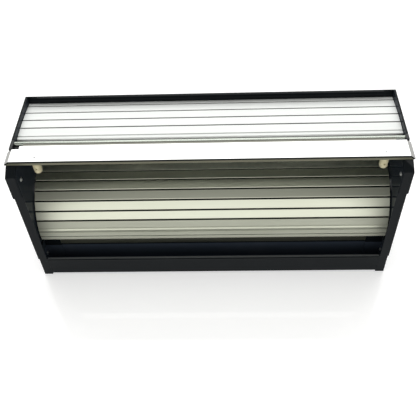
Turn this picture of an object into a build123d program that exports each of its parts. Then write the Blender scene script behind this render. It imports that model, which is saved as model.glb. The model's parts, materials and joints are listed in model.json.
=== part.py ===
"""Grow lamp hood: a black steel chassis around a slatted aluminium reflector and a double-ended lamp.

Millimetres. +X runs along the hood, +Y to its rear, +Z up. The origin is on the floor plane,
in the middle of the overall box. The hood stands on its two foot rails, with its light opening down.
"""

from build123d import *
import os
from math import atan2, cos, degrees, hypot, radians, sin

# Driving dimensions
LENGTH = 564.4  # over the ends of the flap
DEPTH = 158.3  # front flanges to rear wall
HEIGHT = 244.8  # foot to top edge
GLAND_OUT = 17.0  # how far the cable gland stands behind the rear wall

SHEET = 1.4  # black steel sheet
SKIN = 1.2  # aluminium sheet
SLAT_RISE = 1.2  # how far a slat's face stands above the groove beside it
FLANGE = 13.4  # width of the folded front and rear flanges
HOLE_GAP = 0.05  # radial gap between a fastener's shank and its hole

FRONT_Y = -(DEPTH + GLAND_OUT) / 2
REAR_Y = FRONT_Y + DEPTH
LIP_Y = FRONT_Y + 15.7  # front edge of the flap

FLAP_X = LENGTH / 2  # end of the flap
CAP_X = FLAP_X - 2.2  # outer face of a shoulder cap
PLATE_X = CAP_X - SHEET  # outer face of an end plate
FOOT_X = PLATE_X - SHEET  # outer face of a foot rail
BAY_X = FOOT_X - SHEET  # inner face of a foot rail

CAP_LOW = 186.3  # lower end of the cap's front flange
CAP_SKIRT = 171.8  # lower edge of the cap behind its flange
FOOT_TOP = 41.0  # upper end of a foot rail's front flange
FOOT_LAP = 60.0  # upper edge of a foot rail behind the flange
REAR_FLANGE_TOP = 203.8
WALL_FOOT = 8.0  # width of the fold at the rear wall's foot
WALL_HEM = 4.0  # width of the hem along its top
WALL_FOLD_X = FOOT_X - FLANGE - 2.0  # both folds stop short of the end flanges
BROW_Z = 228.8  # where the front flange turns back towards the lip
UNDER_FLAP_Z = 237.4  # top edges of plates and caps below the flap

# Front flap and its hinge
HINGE_Y = LIP_Y + 41.0
HINGE_Z = HEIGHT - 4.3
ROD_R = 3.6
JOURNAL_R = 3.0
JOURNAL_GAP = 0.05
FLAP_SHEET = 1.5
FLAP_REAR_Y = LIP_Y + 32.3
WING_IN_X = FLAP_X - 6.8  # where the flap starts to slope down at its ends
WING_Z = HEIGHT - 4.8
HEM_LOW_Z = HEIGHT - 6.7
LIP_STRIP = 0.6  # how far the bronze strip stands in front of the hem
EDGING = 2.9  # height of the black edging above the strip
EDGING_INSET = 0.2  # how far it keeps inside the flap's outline, and behind the strip's face
LIP_ROUND = 0.4
BLOCK_X = 266.0  # inner face of a hinge block
BLOCK_FRONT_Y = LIP_Y + 26.3
BLOCK_REAR_Y = LIP_Y + 45.5
BLOCK_LOW_Z = 224.8
BLOCK_ROUND = 1.4
SADDLE_Z = HINGE_Z - 0.8  # top of a block, where the rod lies in its trough
SADDLE_GAP = 0.4
HEAD_X = FOOT_X - 1.6  # inner face of a block's head, which holds the rod's journal
HEAD_FRONT_YS = (BLOCK_FRONT_Y, LIP_Y + 33.6)  # left and right; the flap is notched round the left one
BEARING_DEPTH = 3.4
BLOCK_SINK = 3.4  # depth of a screw head's seat
JOURNAL_LENGTH = 3.4
ROD_END_GAP = 0.3
BUMPER_XS = (-239.7, 243.4)
BUMPER_Y = LIP_Y + 8.8
BUMPER_R = 5.9
BUMPER_LOW_Z = 215.8
BUMPER_ROUND = 5.5
BUMPER_SCREW = 10.0  # how far a screw runs into its bumper
LEAF_X = 262.0  # end of the hinge leaf
LEAF_FRONT_Y = LIP_Y + 20.0
LEAF_MOUTH = (12.0, 6.0)  # cut that opens the leaf's curl to the rear

# Slatted top deck, gently crowned
DECK_R = 400.0
DECK_CROWN_Y = LIP_Y + 80.0
DECK_CROWN_Z = HEIGHT - 8.0
DECK_PITCH = 17.9
DECK_FIRST_Y = LIP_Y + 61.4  # first groove
DECK_FRONT_Y = LIP_Y + 55.5
DECK_X = FOOT_X - 0.6
DECK_GROOVES = 5
DECK_HEM_Z = 216.8
GROOVE = 2.3  # width of a groove between the deck's slats

# Header rail under the hinge
HEADER_LOW_Z = 209.8
HEADER_TOP_Z = HEIGHT - 12.0
HEADER_FRONT_Y = LIP_Y + 44.0
HEADER_EAR_Y = LIP_Y + 30.0  # front edge of the tabs at its ends

# Reflector: a slatted quarter cylinder in front, a plain sheet behind
ARCH_Y = LIP_Y + 96.0
ARCH_Z = 63.8
ARCH_R = 81.0
SLAT_STEP = 11.5  # degrees from slat to slat
SLAT_LOW = -7.0  # degrees, lower end of the lowest slat
SLAT_TOP = 90.5  # degrees, upper end of the last slat
SLAT_GROOVES = [(-2.0, 1.4, SLAT_RISE), (6.0, 3.2, 0.7), (11.0, 0.9, 0.4)]  # degrees, width, depth
SLAT_GROOVES += [(21.5 + SLAT_STEP * i, 2.0, SLAT_RISE) for i in range(6)]
REFLECTOR_X = BAY_X - 0.4
LAP = 10.0  # how far the front half runs under the ridge strip
REAR_BENDS = (104.0, 112.0)  # degrees, folds of the rear half behind the crown
SHOULDER = 121.0  # degrees, where the rear half leaves the circle
SHOULDER_RUN = 5.0
SHOULDER_DROP = 14.0
RIDGE_BENDS = (92.2, 98.0, 104.5)  # degrees, front edge, fold and rear edge of the ridge strip
RIDGE_LIFT = 0.35  # gap under the ridge strip
REAR_REFLECTOR_Y = REAR_Y - SHEET - 4.0
REFLECTOR_LOW_Z = 12.0
END_REFLECTOR_X = 264.0
CHEEK_GAP = 0.8  # between an end cheek and the sheets round it
CHEEK_ANGLES = (6.0, 24.0, 42.0, 60.0, 78.0, 96.0, 110.0)
CHEEK_WINDOW = (36.0, 34.0)
HANGER_XS = (-140.0, 140.0)
HANGER_Y = ARCH_Y + 26.0
HANGER_HALF = 10.0
HANGER_FOOT = 8.0
HANGER_TAB = 14.0
HANGER_LOW_Z = 141.8
HANGER_TOP_Z = 229.8

# Front channel below the reflector
CHANNEL_LOW_Z = 3.4
CHANNEL_TOP_Z = 41.0
BAR_HEM = 3.4  # width of the return along the front bar's top
BAR_ROUND = 0.6
BAR_LINE_Z = CHANNEL_TOP_Z - 3.0
BAR_LINE = (2.0, 0.8)  # height and depth of the line pressed below the hem
UPRIGHT_Y = LIP_Y + 16.4
UPRIGHT_TOP_Z = 49.8
SILL_X = 246.0
SILL_LOW_Z = 44.3
SILL_TOP_Z = 53.4
FLANGE_LOW_Z = 36.8
BRACKET_LEG = 3.8  # thickness of a corner bracket's leg against the foot rail

# Lamp
LAMP_Y = ARCH_Y - 2.0
LAMP_Z = 95.8
BULB_R = 15.0
BULB_WALL = 1.4
BULB_HALF = 150.0
SEAL_END_X = 184.0
PIN_R = 4.0
PIN_END_X = 202.0
PINCH = (10.0, 4.0)  # width and thickness of a pinch seal
BULB_END_X = BULB_HALF + 17.0
BULB_TIP_X = BULB_HALF + 10.0  # end of the hollow
ARC_HALF = 62.0
WIRE_R = 0.8
LAMP_CAP_R = 6.2
LAMP_CAP_LENGTH = 6.5
HOLDER_X = 192.0
HOLDER_LENGTH = 38.0
HOLDER_WIDTH = 30.0
HOLDER_HEIGHT = 34.0
HOLDER_ROUND = 4.0
HOLDER_GROOVES = (12.0, 22.0)  # cooling grooves, from the holder's inner face
HOLDER_GROOVE = (4.0, 3.0)  # width and depth of a cooling groove
SOCKET_DEPTH = 12.0
ARM_Z = LAMP_Z + HOLDER_HEIGHT / 2 + 3.5  # top of a holder's bracket
ARM_HALF = 13.0

# Mains inlet and wiring
INLET_X = -205.0
INLET_Z = 193.8
GLAND_THREAD_R = 7.9
GLAND_BORE_R = 3.6
GLAND_HEX = 11.0
LEAD_R = 1.5
LEAD_BEND = 6.0
LEAD_X = 250.0  # where a lead drops through the reflector
LEAD_Y = LIP_Y + 121.0
LEAD_RUN_Y = REAR_Y - SHEET - 8.0
LEAD_CLIP_XS = (-90.0, 40.0, 190.0)
TERMINAL_X = -138.0
TERMINAL_Z = 187.8
TERMINAL_SIZE = (34.0, 22.0)
TERMINAL_DEPTH = 15.0
WAY_R = 2.6  # wire way of a terminal
WAY_DEPTH = 5.0
LOCKNUT = 4.0  # thickness of the gland's collar and of its locknut
VENT_XS = [-60.0 + 40.0 * i for i in range(8)]
VENT_Z = 171.8
VENT_LENGTH = 28.0
VENT_WIDTH = 5.0

# Fasteners
RIVET_R = 2.0
RIVET_HEAD_R = 3.5
SCREW_R = 1.75
SCREW_HEAD_R = 3.4
HANG_R = 3.25
HANG_SPACING = 80.0
HANG_Y = LIP_Y + 78.0
HANG_Z = 208.8
HEAD_TAPER = 24.0
THROUGH = 3.0  # half the depth of a hole through lapped sheets

# Hole positions in the end walls, as (Y, Z)
CAP_RIVETS = ((LIP_Y + 24.0, 186.2), (LIP_Y + 84.0, 186.2), (LIP_Y + 132.0, 186.2))
RAIL_RIVETS = ((LIP_Y + 38.0, 216.8),)
BLOCK_SCREWS = ((LIP_Y + 31.5, 230.3), (LIP_Y + 40.5, 230.3))
HOLDER_RIVETS = ((LAMP_Y - 8.0, LAMP_Z + 12.0), (LAMP_Y + 8.0, LAMP_Z + 12.0))
FOOT_RIVETS = ((LIP_Y + 60.0, 51.0), (LIP_Y + 120.0, 51.0))
BRACKET_RIVETS = ((LIP_Y + 11.0, 25.0),)

# Hole positions in the rear wall, as (X, Z)
SIDE_SCREW_X = 270.0
SIDE_SCREW_ZS = (20.0, 100.0, 180.0)
DECK_SCREW_XS = (-210.0, -70.0, 70.0, 210.0)
DECK_SCREW_Z = 222.8
RIDGE_XS = (-240.0, -140.0, 0.0, 140.0, 240.0)
RIDGE_YS = (ARCH_Y + 7.0, ARCH_Y + 16.0)
RIDGE_HEAD_Z = ARCH_Z + ARCH_R + 0.5
SILL_SCREWS = [(x, 46.8) for x in (-200.0, -100.0, 0.0, 100.0, 200.0)]
TERMINAL_SPOTS = [(TERMINAL_X + x, TERMINAL_Z + z) for x in (-10.0, 0.0, 10.0) for z in (6.0, 16.0)]
RIGHT_LEAD_Z = 155.8
LEFT_LEAD_Z = 161.8


def shifted(points, distance):
    """Fold line moved sideways, to the left of its direction of travel, with mitred corners."""
    normals = []
    for (ay, az), (by, bz) in zip(points, points[1:]):
        run = hypot(by - ay, bz - az)
        normals.append((-(bz - az) / run, (by - ay) / run))
    moved = []
    for i, (y, z) in enumerate(points):
        before = normals[max(i - 1, 0)]
        after = normals[min(i, len(normals) - 1)]
        scale = distance / (1 + before[0] * after[0] + before[1] * after[1])
        moved.append((y + scale * (before[0] + after[0]), z + scale * (before[1] + after[1])))
    return moved


def along(points, thickness):
    """Closed outline of a sheet of even thickness, on the left of the fold line through points."""
    return list(points) + shifted(points, thickness)[::-1]


def arch(radius, angle):
    """Point on the reflector's section, at an angle above the horizontal that runs to the front."""
    turn = radians(angle)
    return (ARCH_Y - radius * cos(turn), ARCH_Z + radius * sin(turn))


def deck(y, below=0.0):
    """Point on the crowned deck's section, a distance below its outer surface."""
    lean = (y - DECK_CROWN_Y) / DECK_R
    reach = DECK_R - below
    return (DECK_CROWN_Y + reach * sin(lean), DECK_CROWN_Z - DECK_R + reach * cos(lean))


def bar(points, x_from, x_to, rounding=0.0):
    """Solid with the given Y-Z outline, between two stations along the hood."""
    with BuildPart() as made:
        with BuildSketch(Plane.YZ.offset(x_from)) as section:
            with BuildLine():
                Polyline(*points, close=True)
            make_face()
            if rounding:
                fillet(section.vertices(), rounding)
        extrude(amount=x_to - x_from)
    return made.part


def save(part, name):
    """Label a finished piece and write it to its own file."""
    part.label = name
    export_step(part, f"parts/{name}.step")


CAP_FOLD = [(FRONT_Y, CAP_LOW), (FRONT_Y, BROW_Z), (LIP_Y, UNDER_FLAP_Z)]
HANG_HOLES = [(HANG_Y - HANG_SPACING / 2, HANG_Z), (HANG_Y + HANG_SPACING / 2, HANG_Z)]
REAR_SCREWS = [(side * SIDE_SCREW_X, z) for side in (-1, 1) for z in SIDE_SCREW_ZS]
REAR_SCREWS += [(x, DECK_SCREW_Z) for x in DECK_SCREW_XS]


def shoulder_cap(side):
    """Outer cap of an upper corner: a side panel with a flange folded across the front."""
    panel = CAP_FOLD + [
        (BLOCK_REAR_Y + 0.3, UNDER_FLAP_Z),
        (BLOCK_REAR_Y + 0.3, HEIGHT),
        (REAR_Y, HEIGHT),
        (REAR_Y, CAP_SKIRT),
        (FRONT_Y + 22.0, CAP_SKIRT),
        (FRONT_Y + 14.0, CAP_LOW),
    ]
    outside = Plane.YZ.offset(side * CAP_X)
    with BuildPart() as cap:
        with BuildSketch(outside):
            with BuildLine():
                Polyline(*panel, close=True)
            make_face()
        extrude(amount=-side * SHEET)
        with BuildSketch(outside):
            with BuildLine():
                Polyline(*along(CAP_FOLD, -SHEET), close=True)
            make_face()
        extrude(amount=-side * FLANGE)
        with BuildSketch(outside):
            with Locations(*CAP_RIVETS, *RAIL_RIVETS, *BLOCK_SCREWS):
                Circle(RIVET_R + HOLE_GAP)
            with Locations(*HANG_HOLES):
                Circle(HANG_R)
        extrude(amount=-side * SHEET, mode=Mode.SUBTRACT)
    return cap.part


def end_plate(side):
    """End wall of the chassis, with flanges folded in along its front and rear edges."""
    fold = shifted([(FRONT_Y, FOOT_TOP)] + CAP_FOLD[1:], -SHEET)
    rear = REAR_Y - SHEET
    panel = fold + [
        (BLOCK_REAR_Y + 0.3, fold[-1][1]),
        (BLOCK_REAR_Y + 0.3, HEIGHT),
        (rear, HEIGHT),
        (rear, FOOT_TOP),
    ]
    outside = Plane.YZ.offset(side * PLATE_X)
    with BuildPart() as plate:
        with BuildSketch(outside):
            with BuildLine():
                Polyline(*panel, close=True)
            make_face()
        extrude(amount=-side * SHEET)
        with BuildSketch(outside):
            with BuildLine():
                Polyline(*along(fold, -SHEET), close=True)
            make_face()
            with BuildLine():
                Polyline(*along([(rear, FOOT_TOP), (rear, REAR_FLANGE_TOP)], SHEET), close=True)
            make_face()
        extrude(amount=-side * FLANGE)
        with BuildSketch(outside):
            with Locations(*CAP_RIVETS, *RAIL_RIVETS, *BLOCK_SCREWS, *HOLDER_RIVETS, *FOOT_RIVETS):
                Circle(RIVET_R + HOLE_GAP)
            with Locations(*HANG_HOLES):
                Circle(HANG_R)
        extrude(amount=-side * SHEET, mode=Mode.SUBTRACT)
        with BuildSketch(Plane.XZ.offset(-rear)):
            with Locations(*[(side * SIDE_SCREW_X, z) for z in SIDE_SCREW_ZS[1:]]):
                Circle(SCREW_R + HOLE_GAP)
        extrude(amount=SHEET, mode=Mode.SUBTRACT)
    return plate.part


def foot_rail(side):
    """Foot of one end: an angle that laps inside the end plate and stands on its folded flange."""
    front = FRONT_Y + SHEET
    rear = REAR_Y - SHEET
    panel = [
        (front, 0.0),
        (front, FOOT_TOP),
        (front + SHEET, FOOT_TOP),
        (front + SHEET, FOOT_LAP),
        (rear - SHEET, FOOT_LAP),
        (rear - SHEET, FOOT_TOP),
        (rear, FOOT_TOP),
        (rear, 0.0),
    ]
    outside = Plane.YZ.offset(side * FOOT_X)
    with BuildPart() as foot:
        with BuildSketch(outside):
            with BuildLine():
                Polyline(*panel, close=True)
            make_face()
        extrude(amount=-side * SHEET)
        with BuildSketch(outside):
            with BuildLine():
                Polyline(*along([(rear, FOOT_TOP), (rear, 0.0), (front, 0.0), (front, FOOT_TOP)], -SHEET),
                         close=True)
            make_face()
        extrude(amount=-side * FLANGE)
        with BuildSketch(outside):
            with Locations(*FOOT_RIVETS, *BRACKET_RIVETS):
                Circle(RIVET_R + HOLE_GAP)
        extrude(amount=-side * SHEET, mode=Mode.SUBTRACT)
        with BuildSketch(Plane.XZ.offset(-rear)):
            with Locations((side * SIDE_SCREW_X, SIDE_SCREW_ZS[0])):
                Circle(SCREW_R + HOLE_GAP)
        extrude(amount=SHEET, mode=Mode.SUBTRACT)
    return foot.part


def side_rivets():
    """Domed rivets that hold caps, plates, feet and channel brackets together, heads inside."""
    spots = [(y, z, CAP_X, FOOT_X) for y, z in CAP_RIVETS]
    spots += [(y, z, CAP_X, BAY_X) for y, z in RAIL_RIVETS]
    spots += [(y, z, PLATE_X, BAY_X) for y, z in FOOT_RIVETS + HOLDER_RIVETS]
    spots += [(y, z, FOOT_X, BAY_X - BRACKET_LEG) for y, z in BRACKET_RIVETS]
    with BuildPart() as rivets:
        for side in (-1, 1):
            for y, z, x_out, x_in in spots:
                with BuildSketch(Plane.YZ.offset(side * x_out)):
                    with Locations((y, z)):
                        Circle(RIVET_R)
                extrude(amount=side * (x_in - x_out))
                with BuildSketch(Plane.YZ.offset(side * x_in)):
                    with Locations((y, z)):
                        Circle(RIVET_HEAD_R)
                extrude(amount=-side * 2.0, taper=HEAD_TAPER)
    return rivets.part


def rear_wall():
    """Rear panel, hemmed at the top, with a stiffening flange folded in at its foot."""
    fold = [(REAR_Y - WALL_FOOT, CHANNEL_LOW_Z), (REAR_Y, CHANNEL_LOW_Z), (REAR_Y, HEIGHT),
            (REAR_Y - WALL_HEM, HEIGHT)]
    with BuildPart() as wall:
        with BuildSketch(Plane.YZ.offset(-WALL_FOLD_X)):
            with BuildLine():
                Polyline(*along(fold, SHEET), close=True)
            make_face()
        extrude(amount=2 * WALL_FOLD_X)
        with BuildSketch(Plane.YZ.offset(-PLATE_X)):
            with BuildLine():
                Polyline(*along(fold[1:3], SHEET), close=True)
            make_face()
        extrude(amount=2 * PLATE_X)
        with BuildSketch(Plane.XZ.offset(-REAR_Y)):
            with Locations((INLET_X, INLET_Z)):
                Circle(GLAND_THREAD_R + HOLE_GAP)
            with Locations(*REAR_SCREWS):
                Circle(SCREW_R + HOLE_GAP)
            with Locations(*[(x, VENT_Z) for x in VENT_XS]):
                SlotOverall(VENT_LENGTH, VENT_WIDTH)
        extrude(amount=SHEET, mode=Mode.SUBTRACT)
    return wall.part


def drill(part, plane, spots, radius, depth=THROUGH):
    """The part with round holes sunk to both sides of a plane."""
    with BuildPart() as drilled:
        add(part)
        with BuildSketch(plane):
            with Locations(*spots):
                Circle(radius)
        extrude(amount=depth, both=True, mode=Mode.SUBTRACT)
    return drilled.part


def top_deck():
    """Crowned aluminium deck of six slats, with flanges folded down to the header and rear wall."""
    outer = []
    rear_y = REAR_Y - SHEET
    cuts = [DECK_FIRST_Y + i * DECK_PITCH for i in range(DECK_GROOVES)]
    edges = [DECK_FRONT_Y] + cuts + [rear_y]
    for i, (start, end) in enumerate(zip(edges, edges[1:])):
        head = start + (GROOVE / 2 if i else 0.0)
        tail = end - (GROOVE / 2 if i < DECK_GROOVES else 0.0)
        if i:
            outer.append(deck(head, SLAT_RISE))
        outer += [deck(head), deck(tail)]
        if i < DECK_GROOVES:
            outer.append(deck(tail, SLAT_RISE))
    base = SLAT_RISE + SKIN
    outer += [(rear_y, DECK_HEM_Z), (rear_y - SKIN, DECK_HEM_Z), deck(rear_y - SKIN, base)]
    outer += [deck(y, base) for y in reversed(cuts)]
    outer += [deck(DECK_FRONT_Y + SKIN, base), (DECK_FRONT_Y + SKIN, DECK_HEM_Z), (DECK_FRONT_Y, DECK_HEM_Z)]
    spots = [(x, DECK_SCREW_Z) for x in DECK_SCREW_XS]
    made = drill(bar(outer, -DECK_X, DECK_X), Plane.XZ.offset(-rear_y), spots, SCREW_R + HOLE_GAP)
    return drill(made, Plane.XZ.offset(-DECK_FRONT_Y), spots, SCREW_R + HOLE_GAP)


def header_rail():
    """Angle across the chassis under the hinge rod, which carries the deck's front flange."""
    fold = [(DECK_FRONT_Y, HEADER_TOP_Z), (DECK_FRONT_Y, HEADER_LOW_Z), (HEADER_FRONT_Y, HEADER_LOW_Z)]
    spots = [(x, DECK_SCREW_Z) for x in DECK_SCREW_XS]
    rail = drill(bar(along(fold, -SHEET), -BAY_X, BAY_X), Plane.XZ.offset(-DECK_FRONT_Y), spots,
                 SCREW_R + HOLE_GAP)
    notch_y = BLOCK_REAR_Y + 1.0
    notch_z = BLOCK_LOW_Z - 1.0
    ear = [(HEADER_EAR_Y, HEADER_LOW_Z), (DECK_FRONT_Y, HEADER_LOW_Z), (DECK_FRONT_Y, HEADER_TOP_Z),
           (notch_y, HEADER_TOP_Z), (notch_y, notch_z), (HEADER_EAR_Y, notch_z)]
    with BuildPart() as whole:
        add(rail)
        for side in (-1, 1):
            add(bar(ear, side * BAY_X, side * FOOT_X))
            with BuildSketch(Plane.YZ.offset(side * FOOT_X)):
                with Locations(*RAIL_RIVETS):
                    Circle(RIVET_R + HOLE_GAP)
            extrude(amount=-side * SHEET, mode=Mode.SUBTRACT)
    return whole.part


def front_reflector():
    """Front quarter of the reflector: raised slats on one skin, with a flange at its foot."""
    valley = ARCH_R - SLAT_RISE
    inside = valley - SKIN
    outer = [arch(ARCH_R, SLAT_LOW)]
    for angle, width, depth in SLAT_GROOVES:
        half = degrees(width / 2 / ARCH_R)
        floor = ARCH_R - depth
        outer += [arch(ARCH_R, angle - half), arch(floor, angle - half)]
        outer += [arch(floor, angle + half), arch(ARCH_R, angle + half)]
    outer += [arch(ARCH_R, SLAT_TOP), arch(valley, SLAT_TOP)]
    bends = [groove[0] for groove in SLAT_GROOVES] + [SLAT_TOP]
    lap = SLAT_TOP + degrees(LAP / ARCH_R)
    outer += [arch(valley, lap), arch(inside, lap)]
    outer += [arch(inside, angle) for angle in reversed(bends)]
    near, far = UPRIGHT_Y + SHEET, UPRIGHT_Y + SHEET + SKIN
    outer += [(far, UPRIGHT_TOP_Z), (far, FLANGE_LOW_Z), (near, FLANGE_LOW_Z), (near, SILL_TOP_Z)]
    made = drill(bar(outer, -REFLECTOR_X, REFLECTOR_X), Plane.XY.offset(arch(valley, 90.0)[1]),
                 [(x, RIDGE_YS[0]) for x in RIDGE_XS], RIVET_R + HOLE_GAP, 2 * THROUGH)
    return drill(made, Plane.XZ.offset(-far), SILL_SCREWS, SCREW_R + HOLE_GAP)


def rear_reflector():
    """Rear half of the reflector: flat facets over the lamp, then a straight skirt down the back."""
    radius = ARCH_R - SLAT_RISE
    first = SLAT_TOP + degrees((LAP + 1.0) / ARCH_R)
    shoulder_z = arch(radius, SHOULDER)[1]
    fold = [arch(radius, angle) for angle in (first,) + REAR_BENDS]
    fold += [(REAR_REFLECTOR_Y - SHOULDER_RUN, shoulder_z), (REAR_REFLECTOR_Y, shoulder_z - SHOULDER_DROP),
             (REAR_REFLECTOR_Y, REFLECTOR_LOW_Z), (REAR_Y - 2 * SHEET - 0.1, REFLECTOR_LOW_Z)]
    made = drill(bar(along(fold, -SKIN), -REFLECTOR_X, REFLECTOR_X),
                 Plane.XY.offset(arch(radius, RIDGE_BENDS[1])[1]), [(x, RIDGE_YS[1]) for x in RIDGE_XS],
                 RIVET_R + HOLE_GAP, 2 * THROUGH)
    return drill(made, Plane.XY.offset(shoulder_z + SHOULDER_RUN), [(-LEAD_X, LEAD_Y), (LEAD_X, LEAD_Y)],
                 LEAD_R + 1.0, 2 * SHOULDER_RUN)


def ridge_strip():
    """Strip that joins the two halves of the reflector along the crown."""
    radius = ARCH_R - SLAT_RISE + RIDGE_LIFT
    strip = bar(along([arch(radius, angle) for angle in RIDGE_BENDS], SKIN), -REFLECTOR_X, REFLECTOR_X)
    return drill(strip, Plane.XY.offset(arch(radius, 90.0)[1]), [(x, y) for x in RIDGE_XS for y in RIDGE_YS],
                 RIVET_R + HOLE_GAP, 2 * THROUGH)


def ridge_rivets():
    """Rivets along the crown seam, heads on top."""
    with BuildPart() as rivets:
        for y, top in zip(RIDGE_YS, (RIDGE_HEAD_Z, RIDGE_HEAD_Z - 0.9)):
            with BuildSketch(Plane.XY.offset(top - 6.0)):
                with Locations(*[(x, y) for x in RIDGE_XS]):
                    Circle(RIVET_R)
            extrude(amount=6.0)
            with BuildSketch(Plane.XY.offset(top)):
                with Locations(*[(x, y) for x in RIDGE_XS]):
                    Circle(RIVET_HEAD_R)
            extrude(amount=1.6, taper=HEAD_TAPER)
    return rivets.part


def reflector_hangers():
    """Two straps that carry the reflector's crown from the deck."""
    fold = [(HANGER_Y + HANGER_FOOT, HANGER_LOW_Z), (HANGER_Y, HANGER_LOW_Z), (HANGER_Y, HANGER_TOP_Z),
            (HANGER_Y - HANGER_TAB, HANGER_TOP_Z)]
    with BuildPart() as straps:
        for x in HANGER_XS:
            add(bar(along(fold, SHEET), x - HANGER_HALF, x + HANGER_HALF))
    return straps.part


def end_reflector(side):
    """Inner end cheek of the light chamber, with a window for the lampholder's bracket."""
    radius = ARCH_R - SLAT_RISE - SKIN - 1.0
    near = UPRIGHT_Y + SHEET + SKIN + CHEEK_GAP
    far = REAR_REFLECTOR_Y - SKIN - CHEEK_GAP
    shoulder_z = arch(radius, SHOULDER)[1] - 2.0
    panel = [(near, REFLECTOR_LOW_Z), (near, ARCH_Z - 4.0)]
    panel += [arch(radius, angle) for angle in CHEEK_ANGLES]
    panel += [(far - SHOULDER_RUN - 1.0, shoulder_z), (far, shoulder_z - SHOULDER_DROP - 1.0),
              (far, REFLECTOR_LOW_Z)]
    with BuildPart() as cheek:
        with BuildSketch(Plane.YZ.offset(side * END_REFLECTOR_X)):
            with BuildLine():
                Polyline(*panel, close=True)
            make_face()
            with Locations((LAMP_Y, LAMP_Z + 12.0)):
                Rectangle(*CHEEK_WINDOW, mode=Mode.SUBTRACT)
        extrude(amount=side * SKIN)
        with BuildSketch(Plane.YZ.offset(side * END_REFLECTOR_X)):
            with Locations(((near + far) / 2, REFLECTOR_LOW_Z + SKIN / 2)):
                Rectangle(far - near, SKIN)
        extrude(amount=side * (BAY_X - 0.1 - END_REFLECTOR_X))
    return cheek.part


def front_channel():
    """Open channel along the foot of the hood: front bar, floor and the upright under the reflector."""
    front = FRONT_Y + SHEET
    back = UPRIGHT_Y + SHEET
    fold = [(front + BAR_HEM, CHANNEL_TOP_Z), (front, CHANNEL_TOP_Z), (front, CHANNEL_LOW_Z),
            (back, CHANNEL_LOW_Z), (back, UPRIGHT_TOP_Z)]
    inner_end = FOOT_X - FLANGE - 0.2
    trough = [(front + SHEET + 0.2, CHANNEL_LOW_Z), (back, CHANNEL_LOW_Z), (back, UPRIGHT_TOP_Z)]
    with BuildPart() as channel:
        add(bar(along(fold, SHEET), -inner_end, inner_end, rounding=BAR_ROUND))
        add(bar(along(trough, SHEET), -BAY_X + 0.1, BAY_X - 0.1))
        with BuildSketch(Plane.XZ.offset(-front)):
            with Locations((0.0, BAR_LINE_Z)):
                Rectangle(2 * inner_end, BAR_LINE[0])
        extrude(amount=-BAR_LINE[1], mode=Mode.SUBTRACT)
        with BuildSketch(Plane.XZ.offset(-back)):
            with Locations(*SILL_SCREWS):
                Circle(SCREW_R + HOLE_GAP)
        extrude(amount=SHEET, mode=Mode.SUBTRACT)
    return channel.part


def sill_strip():
    """Bronze strip that covers the joint between the channel's upright and the lowest slat."""
    face = UPRIGHT_Y - SHEET
    return bar([(face, SILL_LOW_Z), (UPRIGHT_Y, SILL_LOW_Z), (UPRIGHT_Y, SILL_TOP_Z), (face, SILL_TOP_Z)],
               -SILL_X, SILL_X)


def corner_bracket(side):
    """Angle that ties the channel's upright to a foot rail."""
    low = CHANNEL_LOW_Z + SHEET + 0.8
    with BuildPart() as bracket:
        with BuildSketch(Plane.XY.offset(low)):
            with BuildLine():
                Polyline((side * (SILL_X + 0.2), UPRIGHT_Y), (side * BAY_X, UPRIGHT_Y),
                         (side * BAY_X, LIP_Y + 1.0), (side * (BAY_X - BRACKET_LEG), LIP_Y + 1.0),
                         (side * (BAY_X - BRACKET_LEG), UPRIGHT_Y - SHEET),
                         (side * (SILL_X + 0.2), UPRIGHT_Y - SHEET), close=True)
            make_face()
        extrude(amount=SILL_TOP_Z - low)
        with BuildSketch(Plane.YZ.offset(side * BAY_X)):
            with Locations(*BRACKET_RIVETS):
                Circle(RIVET_R + HOLE_GAP)
        extrude(amount=-side * BRACKET_LEG, mode=Mode.SUBTRACT)
    return bracket.part


def screws_along_y(spots, y, reach, out):
    """Pan-head screws along Y: heads stand out of a face at y, shanks run the other way."""
    with BuildPart() as screws:
        with BuildSketch(Plane.XZ.offset(-y)):
            with Locations(*spots):
                Circle(SCREW_R)
        extrude(amount=out * reach)
        with BuildSketch(Plane.XZ.offset(-y)):
            with Locations(*spots):
                Circle(SCREW_HEAD_R)
        extrude(amount=-out * 2.2, taper=18)
    return screws.part


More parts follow.
